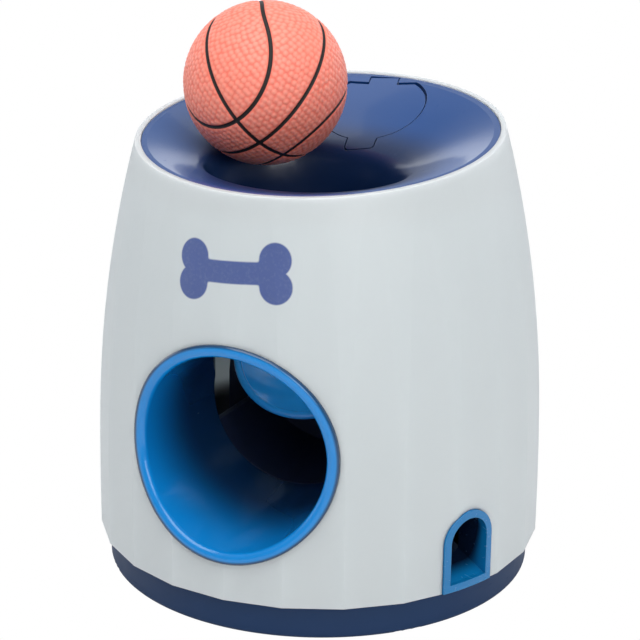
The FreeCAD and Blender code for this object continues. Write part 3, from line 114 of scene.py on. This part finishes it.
def newPiece(name, build, material, smooth=True):
    mesh = bpy.data.meshes.new(name)
    shape = bmesh.new()
    build(shape)
    bmesh.ops.recalc_face_normals(shape, faces=shape.faces)
    shape.to_mesh(mesh)
    shape.free()
    if smooth:
        mesh.shade_smooth()
    piece = bpy.data.objects.new(name, mesh)
    bpy.context.scene.collection.objects.link(piece)
    dress(piece, material)
    return piece


# Moulded plastics: one recipe, each with its own grain, gloss and wear

def plasticTree(name, look):
    material, tree = emptyMaterial(name)
    place = addNode(tree, "ShaderNodeTexCoord")
    # slow drift of the colour, as pigment settles unevenly while the melt cools
    drift = addNoise(tree, (place, "Object"), look["driftSize"])
    middle = hexColor(look["color"])[:3]
    darker = [c * (1 - look["drift"]) for c in middle] + [1]
    lighter = [min(1, c * (1 + look["drift"])) for c in middle] + [1]
    tone = addTwoTone(tree, (drift, "Fac"), darker, lighter)
    # moulded grain from the etched steel, only hundredths of a millimetre deep
    grain = addNoise(tree, (place, "Object"), look["grainSize"], 3.0)
    # hair scratches from handling: noise drawn out along one axis
    drawn = addNode(tree, "ShaderNodeMapping", {"Scale": look["scratchStretch"]},
                    {"Vector": (place, "Object")})
    hairs = addNoise(tree, (drawn, "Vector"), look["scratchSize"], 4.0)
    scratch = addNode(tree, "ShaderNodeMapRange", {"From Min": look["scratchFrom"],
                                                   "From Max": look["scratchFull"]},
                      {"Value": (hairs, "Fac")})
    # edges: a rounded normal differs from the flat one only at an edge
    rounded = addNode(tree, "ShaderNodeBevel", {"Radius": look["edgeRadius"] * mm, "samples": 4})
    flat = addNode(tree, "ShaderNodeNewGeometry")
    agree = addNode(tree, "ShaderNodeVectorMath", {"operation": "DOT_PRODUCT"},
                    {0: (rounded, "Normal"), 1: (flat, "True Normal")})
    edge = addNode(tree, "ShaderNodeMapRange", {"From Min": look["edgeFrom"], "From Max": look["edgeFull"],
                                                "To Max": look["wear"]},
                   {"Value": (agree, "Value")})
    # the edge colour is rubbed wear, and on the dish a painted highlight along its lip
    worn = addLayer(tree, (edge, "Result"), (tone, 2), look["wornColor"])
    roughDrift = addNode(tree, "ShaderNodeMapRange", {"To Min": look["rough"] - look["roughDrift"],
                                                      "To Max": look["rough"] + look["roughDrift"]},
                         {"Value": (drift, "Fac")})
    roughness = addNode(tree, "ShaderNodeMath", {"operation": "MULTIPLY_ADD", 1: look["scratchDull"],
                                                 "use_clamp": True},
                        {0: (scratch, "Result"), 2: (roughDrift, "Result")})
    relief = addNode(tree, "ShaderNodeMath", {"operation": "MULTIPLY_ADD", 1: -look["scratchSink"]},
                     {0: (scratch, "Result"), 2: (grain, "Fac")})
    bump = addNode(tree, "ShaderNodeBump", {"Strength": 1.0, "Distance": look["grainDepth"] * mm},
                   {"Height": (relief, "Value"), "Normal": (rounded, "Normal")})
    shader = addNode(tree, "ShaderNodeBsdfPrincipled", {"IOR": 1.5, "Coat Weight": look["coat"],
                                                        "Coat Roughness": look["coatRough"],
                                                        "Specular IOR Level": look["mirror"]},
                     {"Base Color": (worn, 2), "Roughness": (roughness, "Value"),
                      "Normal": (bump, "Normal")})
    finishMaterial(tree, shader)
    return material, tree, {"shader": shader, "color": worn, "place": place}


plainPlastic = {
    "driftSize": 40, "drift": 0.03, "grainSize": 0.5, "grainDepth": 0.015,  # sizes and depths in mm
    "scratchSize": 6, "scratchStretch": (1, 1, 9), "scratchDull": 0.1, "scratchSink": 0.6,
    "scratchFrom": 0.66, "scratchFull": 0.74,  # the peaks of the noise that count as a scratch
    "edgeRadius": 0.4, "wear": 0.4, "edgeFrom": 0.985, "edgeFull": 0.9,  # how far the normals may agree
    "rough": 0.4, "roughDrift": 0.04, "coat": 0.0, "coatRough": 0.08, "mirror": 0.5,
}


def makePlastic(name, **changes):
    return plasticTree(name, {**plainPlastic, **changes})


# Housing: satin ABS from an etched mould. The fine etch spreads the highlight into a soft sheen.
def makeShellPlastic():
    material, tree, parts = makePlastic("satinMouldedAbs", color="#CFD5D6", wornColor="#E2E6E8",
                                        drift=0.012, rough=0.44, roughDrift=0.03, grainSize=0.35,
                                        grainDepth=0.012, edgeRadius=0.5, wear=0.3, scratchDull=0.06)
    # a pale wall of three millimetres lets a little daylight through to its inside
    glow = {"Subsurface Weight": 0.8, "Subsurface Radius": (1.0, 1.0, 1.0),
            "Subsurface Scale": 6.0 * mm}
    for socket, amount in glow.items():
        parts["shader"].inputs[socket].default_value = amount
    # pad-printed bone in front, drawn in distances along the wall (mm) and above the floor
    printed = {"color": "#54659A", "height": 136.0, "halfLength": 16.0, "halfWidth": 3.9,
               "knobAcross": 4.6, "knobRadius": 6.0, "neckBlend": 1.5, "wallRadius": 77.5,
               "tilt": math.radians(4), "soft": 0.25,
               "filmSize": 10 / 9, "filmThin": 0.93, "filmFrom": 0.2, "filmFull": 0.5}
    split = addNode(tree, "ShaderNodeSeparateXYZ", None, {"Vector": (parts["place"], "Object")})
    front = addNode(tree, "ShaderNodeMath", {"operation": "MULTIPLY", 1: -1.0}, {0: (split, "Y")})
    angle = addNode(tree, "ShaderNodeMath", {"operation": "ARCTAN2"},
                    {0: (split, "X"), 1: (front, "Value")})
    along = addNode(tree, "ShaderNodeMath", {"operation": "MULTIPLY", 1: printed["wallRadius"]},
                    {0: (angle, "Value")})
    raised = addNode(tree, "ShaderNodeMath", {"operation": "MULTIPLY_ADD", 1: 1 / mm,
                                              2: -printed["height"]},
                     {0: (split, "Z")})
    flatPlace = addNode(tree, "ShaderNodeCombineXYZ", None,
                        {"X": (along, "Value"), "Y": (raised, "Value")})
    turned = addNode(tree, "ShaderNodeVectorRotate", {"rotation_type": "Z_AXIS",
                                                      "Angle": -printed["tilt"]},
                     {"Vector": (flatPlace, "Vector")})
    quarter = addNode(tree, "ShaderNodeVectorMath", {"operation": "ABSOLUTE"}, {0: (turned, "Vector")})
    knobPlace = (printed["halfLength"], printed["knobAcross"], 0)
    knobAway = addNode(tree, "ShaderNodeVectorMath", {"operation": "DISTANCE", 1: knobPlace},
                       {0: (quarter, "Vector")})
    knob = addNode(tree, "ShaderNodeMath", {"operation": "SUBTRACT", 1: printed["knobRadius"]},
                   {0: (knobAway, "Value")})
    spread = addNode(tree, "ShaderNodeSeparateXYZ", None, {"Vector": (quarter, "Vector")})
    past = addNode(tree, "ShaderNodeMath", {"operation": "SUBTRACT", 1: printed["halfLength"]},
                   {0: (spread, "X")})
    beside = addNode(tree, "ShaderNodeMath", {"operation": "SUBTRACT", 1: printed["halfWidth"]},
                     {0: (spread, "Y")})
    shaft = addNode(tree, "ShaderNodeMath", {"operation": "MAXIMUM"},
                    {0: (past, "Value"), 1: (beside, "Value")})
    outline = addNode(tree, "ShaderNodeMath", {"operation": "SMOOTH_MIN", 2: printed["neckBlend"]},
                      {0: (knob, "Value"), 1: (shaft, "Value")})
    ink = addNode(tree, "ShaderNodeMapRange", {"From Min": printed["soft"], "From Max": -printed["soft"]},
                  {"Value": (outline, "Value")})
    # the pad leaves a slightly thinner film in places
    film = addNoise(tree, (parts["place"], "Object"), printed["filmSize"])
    cover = addNode(tree, "ShaderNodeMapRange", {"From Min": printed["filmFrom"],
                                                 "From Max": printed["filmFull"],
                                                 "To Min": printed["filmThin"]},
                    {"Value": (film, "Fac")})
    inked = addNode(tree, "ShaderNodeMath", {"operation": "MULTIPLY"},
                    {0: (ink, "Result"), 1: (cover, "Result")})
    painted = addLayer(tree, (inked, "Value"), (parts["color"], 2), printed["color"])
    # painted shade: the inside faces, which look towards the axis, darken low down where light is scarce
    lowInsideShade = {"shadeStart": 45.0, "shadeFull": 35.0, "color": "#1B1F25"}
    flat = addNode(tree, "ShaderNodeNewGeometry")
    outward = addNode(tree, "ShaderNodeVectorMath", {"operation": "DOT_PRODUCT"},
                      {0: (flat, "Normal"), 1: (parts["place"], "Object")})
    inner = addNode(tree, "ShaderNodeMath", {"operation": "LESS_THAN", 1: 0.0}, {0: (outward, "Value")})
    lower = addStep(tree, (split, "Z"), lowInsideShade["shadeStart"] * mm, lowInsideShade["shadeFull"] * mm)
    lowInsideShadeMask = addNode(tree, "ShaderNodeMath", {"operation": "MULTIPLY"},
                    {0: (inner, "Value"), 1: (lower, "Result")})
    lowInsideShaded = addLayer(tree, (lowInsideShadeMask, "Value"), (painted, 2), lowInsideShade["color"])
    tree.links.new(lowInsideShaded.outputs[2], parts["shader"].inputs["Base Color"])
    return material


# Tunnel: polished tool steel gives this bright blue ABS a wet gloss; balls leave fine lengthwise hairs.
def makeTunnelPlastic():
    material, tree, parts = makePlastic("glossyBrightBlueAbs", color="#0A84D0", wornColor="#4397C6",
                                        rough=0.17, grainSize=2.5, grainDepth=0.008,
                                        scratchStretch=(5, 1, 5), coat=0.25, edgeRadius=0.4)
    # painted shade: the bore's colour darkens towards its inner end, where little light reaches
    deepShade = {"mouth": -80.0, "inner": -42.0, "color": "#0F3258"}
    # painted shade and dark reflection: the flange's outer edge, where it meets the housing, is darkened
    flangeEdgeShade = {"axis": (0.45, 0, 70.15), "from": 39.0, "to": 40.1, "color": "#0E3A5E"}
    split = addNode(tree, "ShaderNodeSeparateXYZ", None, {"Vector": (parts["place"], "Object")})
    inward = addStep(tree, (split, "Y"), deepShade["mouth"] * mm, deepShade["inner"] * mm)
    shadeLaid = addLayer(tree, (inward, "Result"), (parts["color"], 2), deepShade["color"])
    facing = addNode(tree, "ShaderNodeVectorMath", {"operation": "MULTIPLY", 1: (1, 0, 1)},
                     {0: (parts["place"], "Object")})
    away = addNode(tree, "ShaderNodeVectorMath", {"operation": "DISTANCE",
                                                  1: [spot * mm for spot in flangeEdgeShade["axis"]]},
                   {0: (facing, "Vector")})
    edge = addStep(tree, (away, "Value"), flangeEdgeShade["from"] * mm, flangeEdgeShade["to"] * mm)
    flangeEdgeShaded = addLayer(tree, (edge, "Result"), (shadeLaid, 2), flangeEdgeShade["color"])
    tree.links.new(flangeEdgeShaded.outputs[2], parts["shader"].inputs["Base Color"])
    return material


# Funnel and lid: dark blue ABS, semi-matt; the ball rubs it, so its hair scratches run along the slope.
def makeFunnelPlastic():
    material, tree, parts = makePlastic("darkBlueAbs", color="#174786", wornColor="#4F6BA6", rough=0.34,
                                        drift=0.04, scratchStretch=(3, 1, 1), scratchDull=0.12,
                                        edgeRadius=0.35, coat=0.25)
    # painted shade: the slope darkens round the throat, for the shade and dark reflections there
    deepShade = {"axis": (5.0 * mm, -15.0 * mm, 0), "from": 52.0, "to": 35.0, "color": "#0F2850"}
    level = addNode(tree, "ShaderNodeVectorMath", {"operation": "MULTIPLY", 1: (1, 1, 0)},
                    {0: (parts["place"], "Object")})
    away = addNode(tree, "ShaderNodeVectorMath", {"operation": "DISTANCE", 1: deepShade["axis"]},
                   {0: (level, "Vector")})
    near = addStep(tree, (away, "Value"), deepShade["from"] * mm, deepShade["to"] * mm)
    shadeLaid = addLayer(tree, (near, "Result"), (parts["color"], 2), deepShade["color"])
    tree.links.new(shadeLaid.outputs[2], parts["shader"].inputs["Base Color"])
    return material


# Chute and slide: the same blue, polished by the treats that slide over it.
def makeChutePlastic():
    material, tree, parts = makePlastic("treatPolishedBlueAbs", color="#0A74B0", wornColor="#4C9BD0",
                                        rough=0.26, grainSize=1.5, grainDepth=0.01,
                                        scratchStretch=(1, 4, 4), edgeRadius=0.4, coat=0.15)
    # painted shade: the duct behind the arch darkens with depth, its walls and roof more than its floor
    ductShade = {"face": 84.6, "shadeStart": 3.0, "dark": 15.0, "floor": 16.0, "roof": 42.0, "atRoof": 4.5,
              "color": "#0B1B34"}
    split = addNode(tree, "ShaderNodeSeparateXYZ", None, {"Vector": (parts["place"], "Object")})
    level = addNode(tree, "ShaderNodeVectorMath", {"operation": "MULTIPLY", 1: (1, 1, 0)},
                    {0: (parts["place"], "Object")})
    out = addNode(tree, "ShaderNodeVectorMath", {"operation": "LENGTH"}, {0: (level, "Vector")})
    depth = addNode(tree, "ShaderNodeMath", {"operation": "SUBTRACT", 0: ductShade["face"] * mm},
                    {1: (out, "Value")})
    higher = addNode(tree, "ShaderNodeMapRange", {"From Min": ductShade["floor"] * mm,
                                                  "From Max": ductShade["roof"] * mm,
                                                  "To Min": 1.0, "To Max": ductShade["atRoof"]},
                     {"Value": (split, "Z")})
    amount = addNode(tree, "ShaderNodeMath", {"operation": "MULTIPLY"},
                     {0: (depth, "Value"), 1: (higher, "Result")})
    ductShadeMask = addStep(tree, (amount, "Value"), ductShade["shadeStart"] * mm, ductShade["dark"] * mm)
    shadeLaid = addLayer(tree, (ductShadeMask, "Result"), (parts["color"], 2), ductShade["color"])
    tree.links.new(shadeLaid.outputs[2], parts["shader"].inputs["Base Color"])
    return material


# Steel: zinc-plated and bright-drawn small parts. Drawing leaves fine lines round the part.
def makeSteel():
    steel = {"dark": "#A3A6AA", "light": "#C9CBCE", "blotchSize": 2.5, "lineSize": 0.2,
             "lineDepth": 0.01, "smooth": 0.24, "rough": 0.42}
    material, tree = emptyMaterial("zincPlatedSteel")
    place = addNode(tree, "ShaderNodeTexCoord")
    blotch = addNoise(tree, (place, "Object"), steel["blotchSize"], 3.0)
    tone = addTwoTone(tree, (blotch, "Fac"), hexColor(steel["dark"]), hexColor(steel["light"]))
    roughness = addNode(tree, "ShaderNodeMapRange", {"To Min": steel["smooth"], "To Max": steel["rough"]},
                        {"Value": (blotch, "Fac")})
    lines = addNoise(tree, (place, "Object"), steel["lineSize"])
    bump = addNode(tree, "ShaderNodeBump", {"Distance": steel["lineDepth"] * mm},
                   {"Height": (lines, "Fac")})
    shader = addNode(tree, "ShaderNodeBsdfPrincipled", {"Metallic": 1.0},
                     {"Base Color": (tone, 2), "Roughness": (roughness, "Result"),
                      "Normal": (bump, "Normal")})
    finishMaterial(tree, shader)
    return material


# Rubber for feet and stop: cured black, dull, with a dusty bloom.
def makeBlackRubber():
    rubber = {"dark": "#1E1E21", "light": "#37373A", "bloomSize": 10 / 3, "gritSize": 0.4,
              "gritDepth": 0.03, "smooth": 0.62, "rough": 0.8}
    material, tree = emptyMaterial("blackCuredRubber")
    place = addNode(tree, "ShaderNodeTexCoord")
    bloom = addNoise(tree, (place, "Object"), rubber["bloomSize"], 4.0)
    tone = addTwoTone(tree, (bloom, "Fac"), hexColor(rubber["dark"]), hexColor(rubber["light"]))
    roughness = addNode(tree, "ShaderNodeMapRange", {"To Min": rubber["smooth"],
                                                     "To Max": rubber["rough"]},
                        {"Value": (bloom, "Fac")})
    grit = addNoise(tree, (place, "Object"), rubber["gritSize"])
    bump = addNode(tree, "ShaderNodeBump", {"Distance": rubber["gritDepth"] * mm},
                   {"Height": (grit, "Fac")})
    shader = addNode(tree, "ShaderNodeBsdfPrincipled", None,
                     {"Base Color": (tone, 2), "Roughness": (roughness, "Result"),
                      "Normal": (bump, "Normal")})
    finishMaterial(tree, shader)
    return material


# Ball: coral natural rubber. It scatters light softly below the skin, so its shading stays warm.
def makeBallRubber():
    rubber = {"deep": "#F2745F", "light": "#FA8570", "tips": "#FF9A86", "cloudSize": 50 / 3,
              "line": "#17110F", "lineEdge": 0.84, "lineFull": 0.7,  # mm from the middle of a line
              "tipRough": 0.48, "valleyRough": 0.62, "poreSize": 2 / 7, "poreDepth": 0.02}
    soft = {"Subsurface Weight": 0.15, "Subsurface Radius": (1.0, 0.35, 0.2),
            "Subsurface Scale": 1.5 * mm}
    material, tree = emptyMaterial("coralNaturalRubber")
    place = addNode(tree, "ShaderNodeTexCoord")
    seam = addNode(tree, "ShaderNodeAttribute", {"attribute_name": "seamDistance"})
    pebble = addNode(tree, "ShaderNodeAttribute", {"attribute_name": "pebbleHeight"})
    cloud = addNoise(tree, (place, "Object"), rubber["cloudSize"], 3.0)
    tone = addTwoTone(tree, (cloud, "Fac"), hexColor(rubber["deep"]), hexColor(rubber["light"]))
    # pebble tips: handled smooth, and paler from wear plus a painted highlight; valleys keep a deeper
    # colour
    tips = addLayer(tree, (pebble, "Fac"), (tone, 2), rubber["tips"])
    line = addNode(tree, "ShaderNodeMapRange", {"From Min": rubber["lineEdge"],
                                                "From Max": rubber["lineFull"]},
                   {"Value": (seam, "Fac")})
    color = addLayer(tree, (line, "Result"), (tips, 2), rubber["line"])
    roughness = addNode(tree, "ShaderNodeMapRange", {"To Min": rubber["valleyRough"],
                                                     "To Max": rubber["tipRough"]},
                        {"Value": (pebble, "Fac")})
    pores = addNoise(tree, (place, "Object"), rubber["poreSize"])
    bump = addNode(tree, "ShaderNodeBump", {"Distance": rubber["poreDepth"] * mm},
                   {"Height": (pores, "Fac")})
    shader = addNode(tree, "ShaderNodeBsdfPrincipled", soft,
                     {"Base Color": (color, 2), "Roughness": (roughness, "Result"),
                      "Normal": (bump, "Normal")})
    finishMaterial(tree, shader)
    return material


looks = {
    "shell_plastic": makeShellPlastic(),
    "funnel_plastic": makeFunnelPlastic(),
    # Base: the same dark blue ABS, but scuffed by floors, so it is duller.
    "base_plastic": makePlastic("scuffedDarkBlueAbs", color="#16345B", wornColor="#4E637F", rough=0.5,
                                wear=0.5, scratchStretch=(1, 1, 6), scratchDull=0.16, edgeRadius=0.5,
                                mirror=0.28)[0],
    "tunnel_plastic": makeTunnelPlastic(),
    "chute_plastic": makeChutePlastic(),
    # Dish and gate: a tough glossy plastic that takes the ball's blows.
    # its strong, near-white edge colour is a painted highlight along the dish's lip
    "dish_plastic": makePlastic("glossyDishPlastic", color="#2CA4F2", wornColor="#C4DAF0", rough=0.13,
                                grainSize=2.0, grainDepth=0.012, scratchStretch=(2, 2, 1), edgeRadius=0.6,
                                wear=0.8, coat=0.6)[0],
    # Hidden frame: recycled dark plastic, coarse flow marks.
    "frame_plastic": makePlastic("darkFramePlastic", color="#182440", wornColor="#2B3A5C", rough=0.55,
                                 drift=0.08, driftSize=15, grainSize=0.8, grainDepth=0.03)[0],
    # Hopper: dark blue, dusted by the treats.
    "hopper_plastic": makePlastic("dustyHopperPlastic", color="#2C4472", wornColor="#55648A", rough=0.52,
                                  grainSize=1.2, grainDepth=0.02)[0],
    # Bushes: off-white acetal, waxy and slick.
    "bush_plastic": makePlastic("waxyAcetal", color="#E4E2DA", wornColor="#F2F0EA", rough=0.3)[0],
    "black_rubber": makeBlackRubber(),
    "ball_rubber": makeBallRubber(),
    "steel": makeSteel(),
}

slotOf = {part["node"]: part["material_slot"] for part in frame["record"]["subparts"]}
for nodeName, nodePiece in frame["nodes"].items():
    dress(nodePiece, looks[slotOf[nodeName]])
print("materials on", len(slotOf), "nodes")


# Ball

ballLook = {
    "radius": 30.43, "grid": 110, "channelDepth": 0.5, "channelHalf": 0.85,
    "pebblePitch": 2.3, "pebbleRadius": 1.08, "pebbleRise": 0.28, "pebbleStray": 0.3, "pebbleSeed": 7,
    "bareRim": 0.15, "growIn": 0.5,  # beside a line no pebbles stand, then they grow to full height
    # the ball's own axes: the lines' crossing point, and the side that the middle line's plane faces
    "pole": (0.2967, -0.7871, -0.5408), "side": (0.4908, 0.6114, -0.6206),
    # the two side lines, as degrees away from the middle line's plane, in waves of the angle round it
    "sideLine": (35.6, -5.4, -8.9, 2.1),
}


def ballFrame():
    pole = Vector(ballLook["pole"]).normalized()
    side = Vector(ballLook["side"])
    side = (side - pole * side.dot(pole)).normalized()
    return pole, side, pole.cross(side)


def sideLineAway(across, around):
    base, first, second, third = ballLook["sideLine"]
    line = base + first * math.cos(around) + second * math.cos(2 * around) + third * math.cos(3 * around)
    return abs(abs(math.degrees(across)) - line)


def seamAway(direction, axes):
    # distance in mm along the surface to the nearest of the four lines
    pole, side, third = axes
    x = max(-1, min(1, direction.dot(side)))
    y = direction.dot(third)
    z = direction.dot(pole)
    across = math.asin(x)
    around = math.atan2(y, z)
    degree = math.radians(1) * ballLook["radius"]
    middle = abs(math.degrees(across)) * degree
    crossing = abs(math.degrees(math.asin(max(-1, min(1, y))))) * degree
    # the side lines run at a slant, so the distance across them is a little shorter
    step = 0.02
    leastWidth = 0.2  # keeps the slant finite near the ends of the axis
    slope = (sideLineAway(0, around + step) - sideLineAway(0, around - step)) / math.degrees(2 * step)
    slant = math.hypot(1, slope / max(leastWidth, math.cos(across)))
    curved = sideLineAway(across, around) * degree / slant
    return min(middle, crossing, curved)


def pebbleCentres():
    radius = ballLook["radius"]
    honeycomb = 0.866  # a cell's area over its pitch squared
    count = int(4 * math.pi * radius ** 2 / (ballLook["pebblePitch"] ** 2 * honeycomb))
    golden = math.pi * (3 - math.sqrt(5))
    chance = random.Random(ballLook["pebbleSeed"])
    stray = ballLook["pebbleStray"] / radius
    tree = KDTree(count)
    for index in range(count):
        height = 1 - 2 * (index + 0.5) / count
        ring = math.sqrt(1 - height * height)
        spot = Vector((ring * math.cos(golden * index), ring * math.sin(golden * index), height))
        shift = Vector([chance.uniform(-stray, stray) for axis in range(3)])
        tree.insert((spot + shift).normalized(), index)
    tree.balance()
    return tree


def makeBall():
    axes = ballFrame()
    pebbles = pebbleCentres()
    radius = ballLook["radius"]
    low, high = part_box("play_ball")
    centre = (Vector(low) + Vector(high)) / 2 / mm
    away = []
    rises = []

    def build(shape):
        grid = ballLook["grid"]
        faces = [(Vector((1, 0, 0)), Vector((0, 1, 0))), (Vector((-1, 0, 0)), Vector((0, 0, 1))),
                 (Vector((0, 1, 0)), Vector((0, 0, 1))), (Vector((0, -1, 0)), Vector((1, 0, 0))),
                 (Vector((0, 0, 1)), Vector((1, 0, 0))), (Vector((0, 0, -1)), Vector((0, 1, 0)))]
        # a cube's six sides, each a grid blown up to the sphere
        for normal, first in faces:
            second = normal.cross(first)
            rows = []
            for i in range(grid + 1):
                u = math.tan((i / grid - 0.5) * math.pi / 2)
                row = []
                for j in range(grid + 1):
                    v = math.tan((j / grid - 0.5) * math.pi / 2)
                    row.append(shape.verts.new((normal + first * u + second * v).normalized()))
                rows.append(row)
            for i in range(grid):
                for j in range(grid):
                    shape.faces.new((rows[i][j], rows[i + 1][j], rows[i + 1][j + 1], rows[i][j + 1]))
        bmesh.ops.remove_doubles(shape, verts=shape.verts, dist=1e-5)
        for vert in shape.verts:
            direction = vert.co.normalized()
            seam = seamAway(direction, axes)
            gap = pebbles.find(direction)[2]
            part = gap * radius / ballLook["pebbleRadius"]
            dome = math.sqrt(max(0, 1 - part * part))
            beyond = seam - ballLook["channelHalf"] - ballLook["bareRim"]
            clear = min(1, max(0, beyond / ballLook["growIn"]))
            rise = dome * clear
            trough = min(1, max(0, 1 - (seam / ballLook["channelHalf"]) ** 2))
            depth = ballLook["pebbleRise"] * (1 - rise) + ballLook["channelDepth"] * trough
            vert.co = (centre + direction * (radius - depth)) * mm
            away.append(seam)
            rises.append(rise)
        shape.verts.index_update()

    ball = newPiece("pebbledBall", build, looks["ball_rubber"])
    for name, values in (("seamDistance", away), ("pebbleHeight", rises)):
        layer = ball.data.attributes.new(name, "FLOAT", "POINT")
        layer.data.foreach_set("value", values)
    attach(ball, "ball")
    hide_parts("play_ball")


makeBall()
print("ball ready")


# Stage: pale floor, white surroundings, soft lights

toyMiddle = (0, 0, 90 * mm)

studio = {
    "floorColor": "#E8E8E8", "floorReach": 3.0, "floorDrop": 0.2 * mm,
    # heights and directions are parts of a unit vector: white paper stands low behind, up to paperTop
    "paper": 2.0, "paperTop": 0.42, "paperFull": 0.24, "behind": (-0.4, 0.92, 0), "paperEnd": -0.2,
    "paperWide": 0.5, "roomColor": "#E9EDF2", "room": 0.3,
    "ceiling": 0.35, "ceilingFrom": 0.55, "ceilingFull": 0.9,
}


def makeStage():
    material, tree = emptyMaterial("whiteSweep")
    path = addNode(tree, "ShaderNodeLightPath")
    paper = addNode(tree, "ShaderNodeBsdfDiffuse", {"Color": hexColor(studio["floorColor"])})
    glow = addNode(tree, "ShaderNodeEmission", {"Color": (1, 1, 1, 1), "Strength": 1.0})
    shown = addNode(tree, "ShaderNodeMixShader", None,
                    {0: (path, "Is Camera Ray"), 1: (paper, "BSDF"), 2: (glow, "Emission")})
    finishMaterial(tree, shown, "Shader")

    def build(shape):
        bmesh.ops.create_grid(shape, x_segments=1, y_segments=1, size=studio["floorReach"])

    floor = newPiece("floor", build, material, smooth=False)
    floor.location.z = -studio["floorDrop"]

    world = bpy.data.worlds.new("softRoom")
    world.use_nodes = True
    tree = world.node_tree
    tree.nodes.clear()
    path = addNode(tree, "ShaderNodeLightPath")
    # the plastic mirrors the studio: white paper standing low behind, a dim room, a pale ceiling
    toward = addNode(tree, "ShaderNodeTexCoord")
    split = addNode(tree, "ShaderNodeSeparateXYZ", None, {"Vector": (toward, "Generated")})
    low = addStep(tree, (split, "Z"), studio["paperTop"], studio["paperFull"])
    low.inputs["To Max"].default_value = studio["paper"]
    behind = addNode(tree, "ShaderNodeVectorMath", {"operation": "DOT_PRODUCT", 1: studio["behind"]},
                     {0: (toward, "Generated")})
    back = addStep(tree, (behind, "Value"), studio["paperEnd"], studio["paperWide"])
    high = addStep(tree, (split, "Z"), studio["ceilingFrom"], studio["ceilingFull"])
    high.inputs["To Max"].default_value = studio["ceiling"]
    roomLight = addNode(tree, "ShaderNodeMath", {"operation": "ADD", 1: studio["room"]},
                        {0: (high, "Result")})
    studioLight = addNode(tree, "ShaderNodeMath", {"operation": "MULTIPLY_ADD"},
                          {0: (low, "Result"), 1: (back, "Result"), 2: (roomLight, "Value")})
    room = addNode(tree, "ShaderNodeBackground", {"Color": hexColor(studio["roomColor"])},
                   {"Strength": (studioLight, "Value")})
    white = addNode(tree, "ShaderNodeBackground", {"Color": (1, 1, 1, 1), "Strength": 1.0})
    mixed = addNode(tree, "ShaderNodeMixShader", None,
                    {0: (path, "Is Camera Ray"), 1: (room, "Background"), 2: (white, "Background")})
    addNode(tree, "ShaderNodeOutputWorld", None, {"Surface": (mixed, "Shader")})
    bpy.context.scene.world = world


# places and widths in metres; all look at the middle of the toy
softboxes = {
    "topSoftbox": {"place": (0.05, -0.3, 1.08), "width": 0.9, "height": 0.9, "watts": 7.8},
    "keySoftbox": {"place": (0.8, -0.8, 0.65), "width": 0.7, "height": 0.7, "watts": 4.9},
    "leftStrip": {"place": (-0.8, -0.7, 0.4), "width": 0.16, "height": 0.8, "watts": 0.3},
    "backSoftbox": {"place": (-0.2, 0.66, 1.0), "width": 0.5, "height": 0.5, "watts": 0.8},
}


def makeLights():
    for name, box in softboxes.items():
        data = bpy.data.lights.new(name, "AREA")
        data.shape = "RECTANGLE"
        data.size = box["width"]
        data.size_y = box["height"]
        data.energy = box["watts"]
        lamp = bpy.data.objects.new(name, data)
        lamp.location = box["place"]
        lamp.rotation_mode = "QUATERNION"
        lamp.rotation_quaternion = (Vector(toyMiddle) - Vector(box["place"])).to_track_quat("-Z", "Y")
        bpy.context.scene.collection.objects.link(lamp)


makeStage()
makeLights()


# Camera, as worked out from the rims in the photograph

cameraLook = {"turn": 23.75, "rise": 19.5, "roll": 0.6, "distance": 850 * mm, "lens": 125.1,
              "sensor": 36.0, "shiftX": -0.0011, "shiftY": 0.0180, "near": 0.05}


def makeCamera():
    turn = math.radians(cameraLook["turn"])
    rise = math.radians(cameraLook["rise"])
    back = Vector((math.sin(turn) * math.cos(rise), -math.cos(turn) * math.cos(rise), math.sin(rise)))
    data = bpy.data.cameras.new("photoCamera")
    data.lens = cameraLook["lens"]
    data.sensor_width = cameraLook["sensor"]
    data.shift_x = cameraLook["shiftX"]
    data.shift_y = cameraLook["shiftY"]
    data.clip_start = cameraLook["near"]
    camera = bpy.data.objects.new("photoCamera", data)
    camera.location = Vector(toyMiddle) + back * cameraLook["distance"]
    camera.rotation_mode = "QUATERNION"
    roll = Quaternion((0, 0, 1), math.radians(cameraLook["roll"]))
    camera.rotation_quaternion = (-back).to_track_quat("-Z", "Y") @ roll
    bpy.context.scene.collection.objects.link(camera)
    bpy.context.scene.camera = camera


makeCamera()
bpy.context.scene.view_settings.view_transform = "Standard"
print("camera and lights ready")
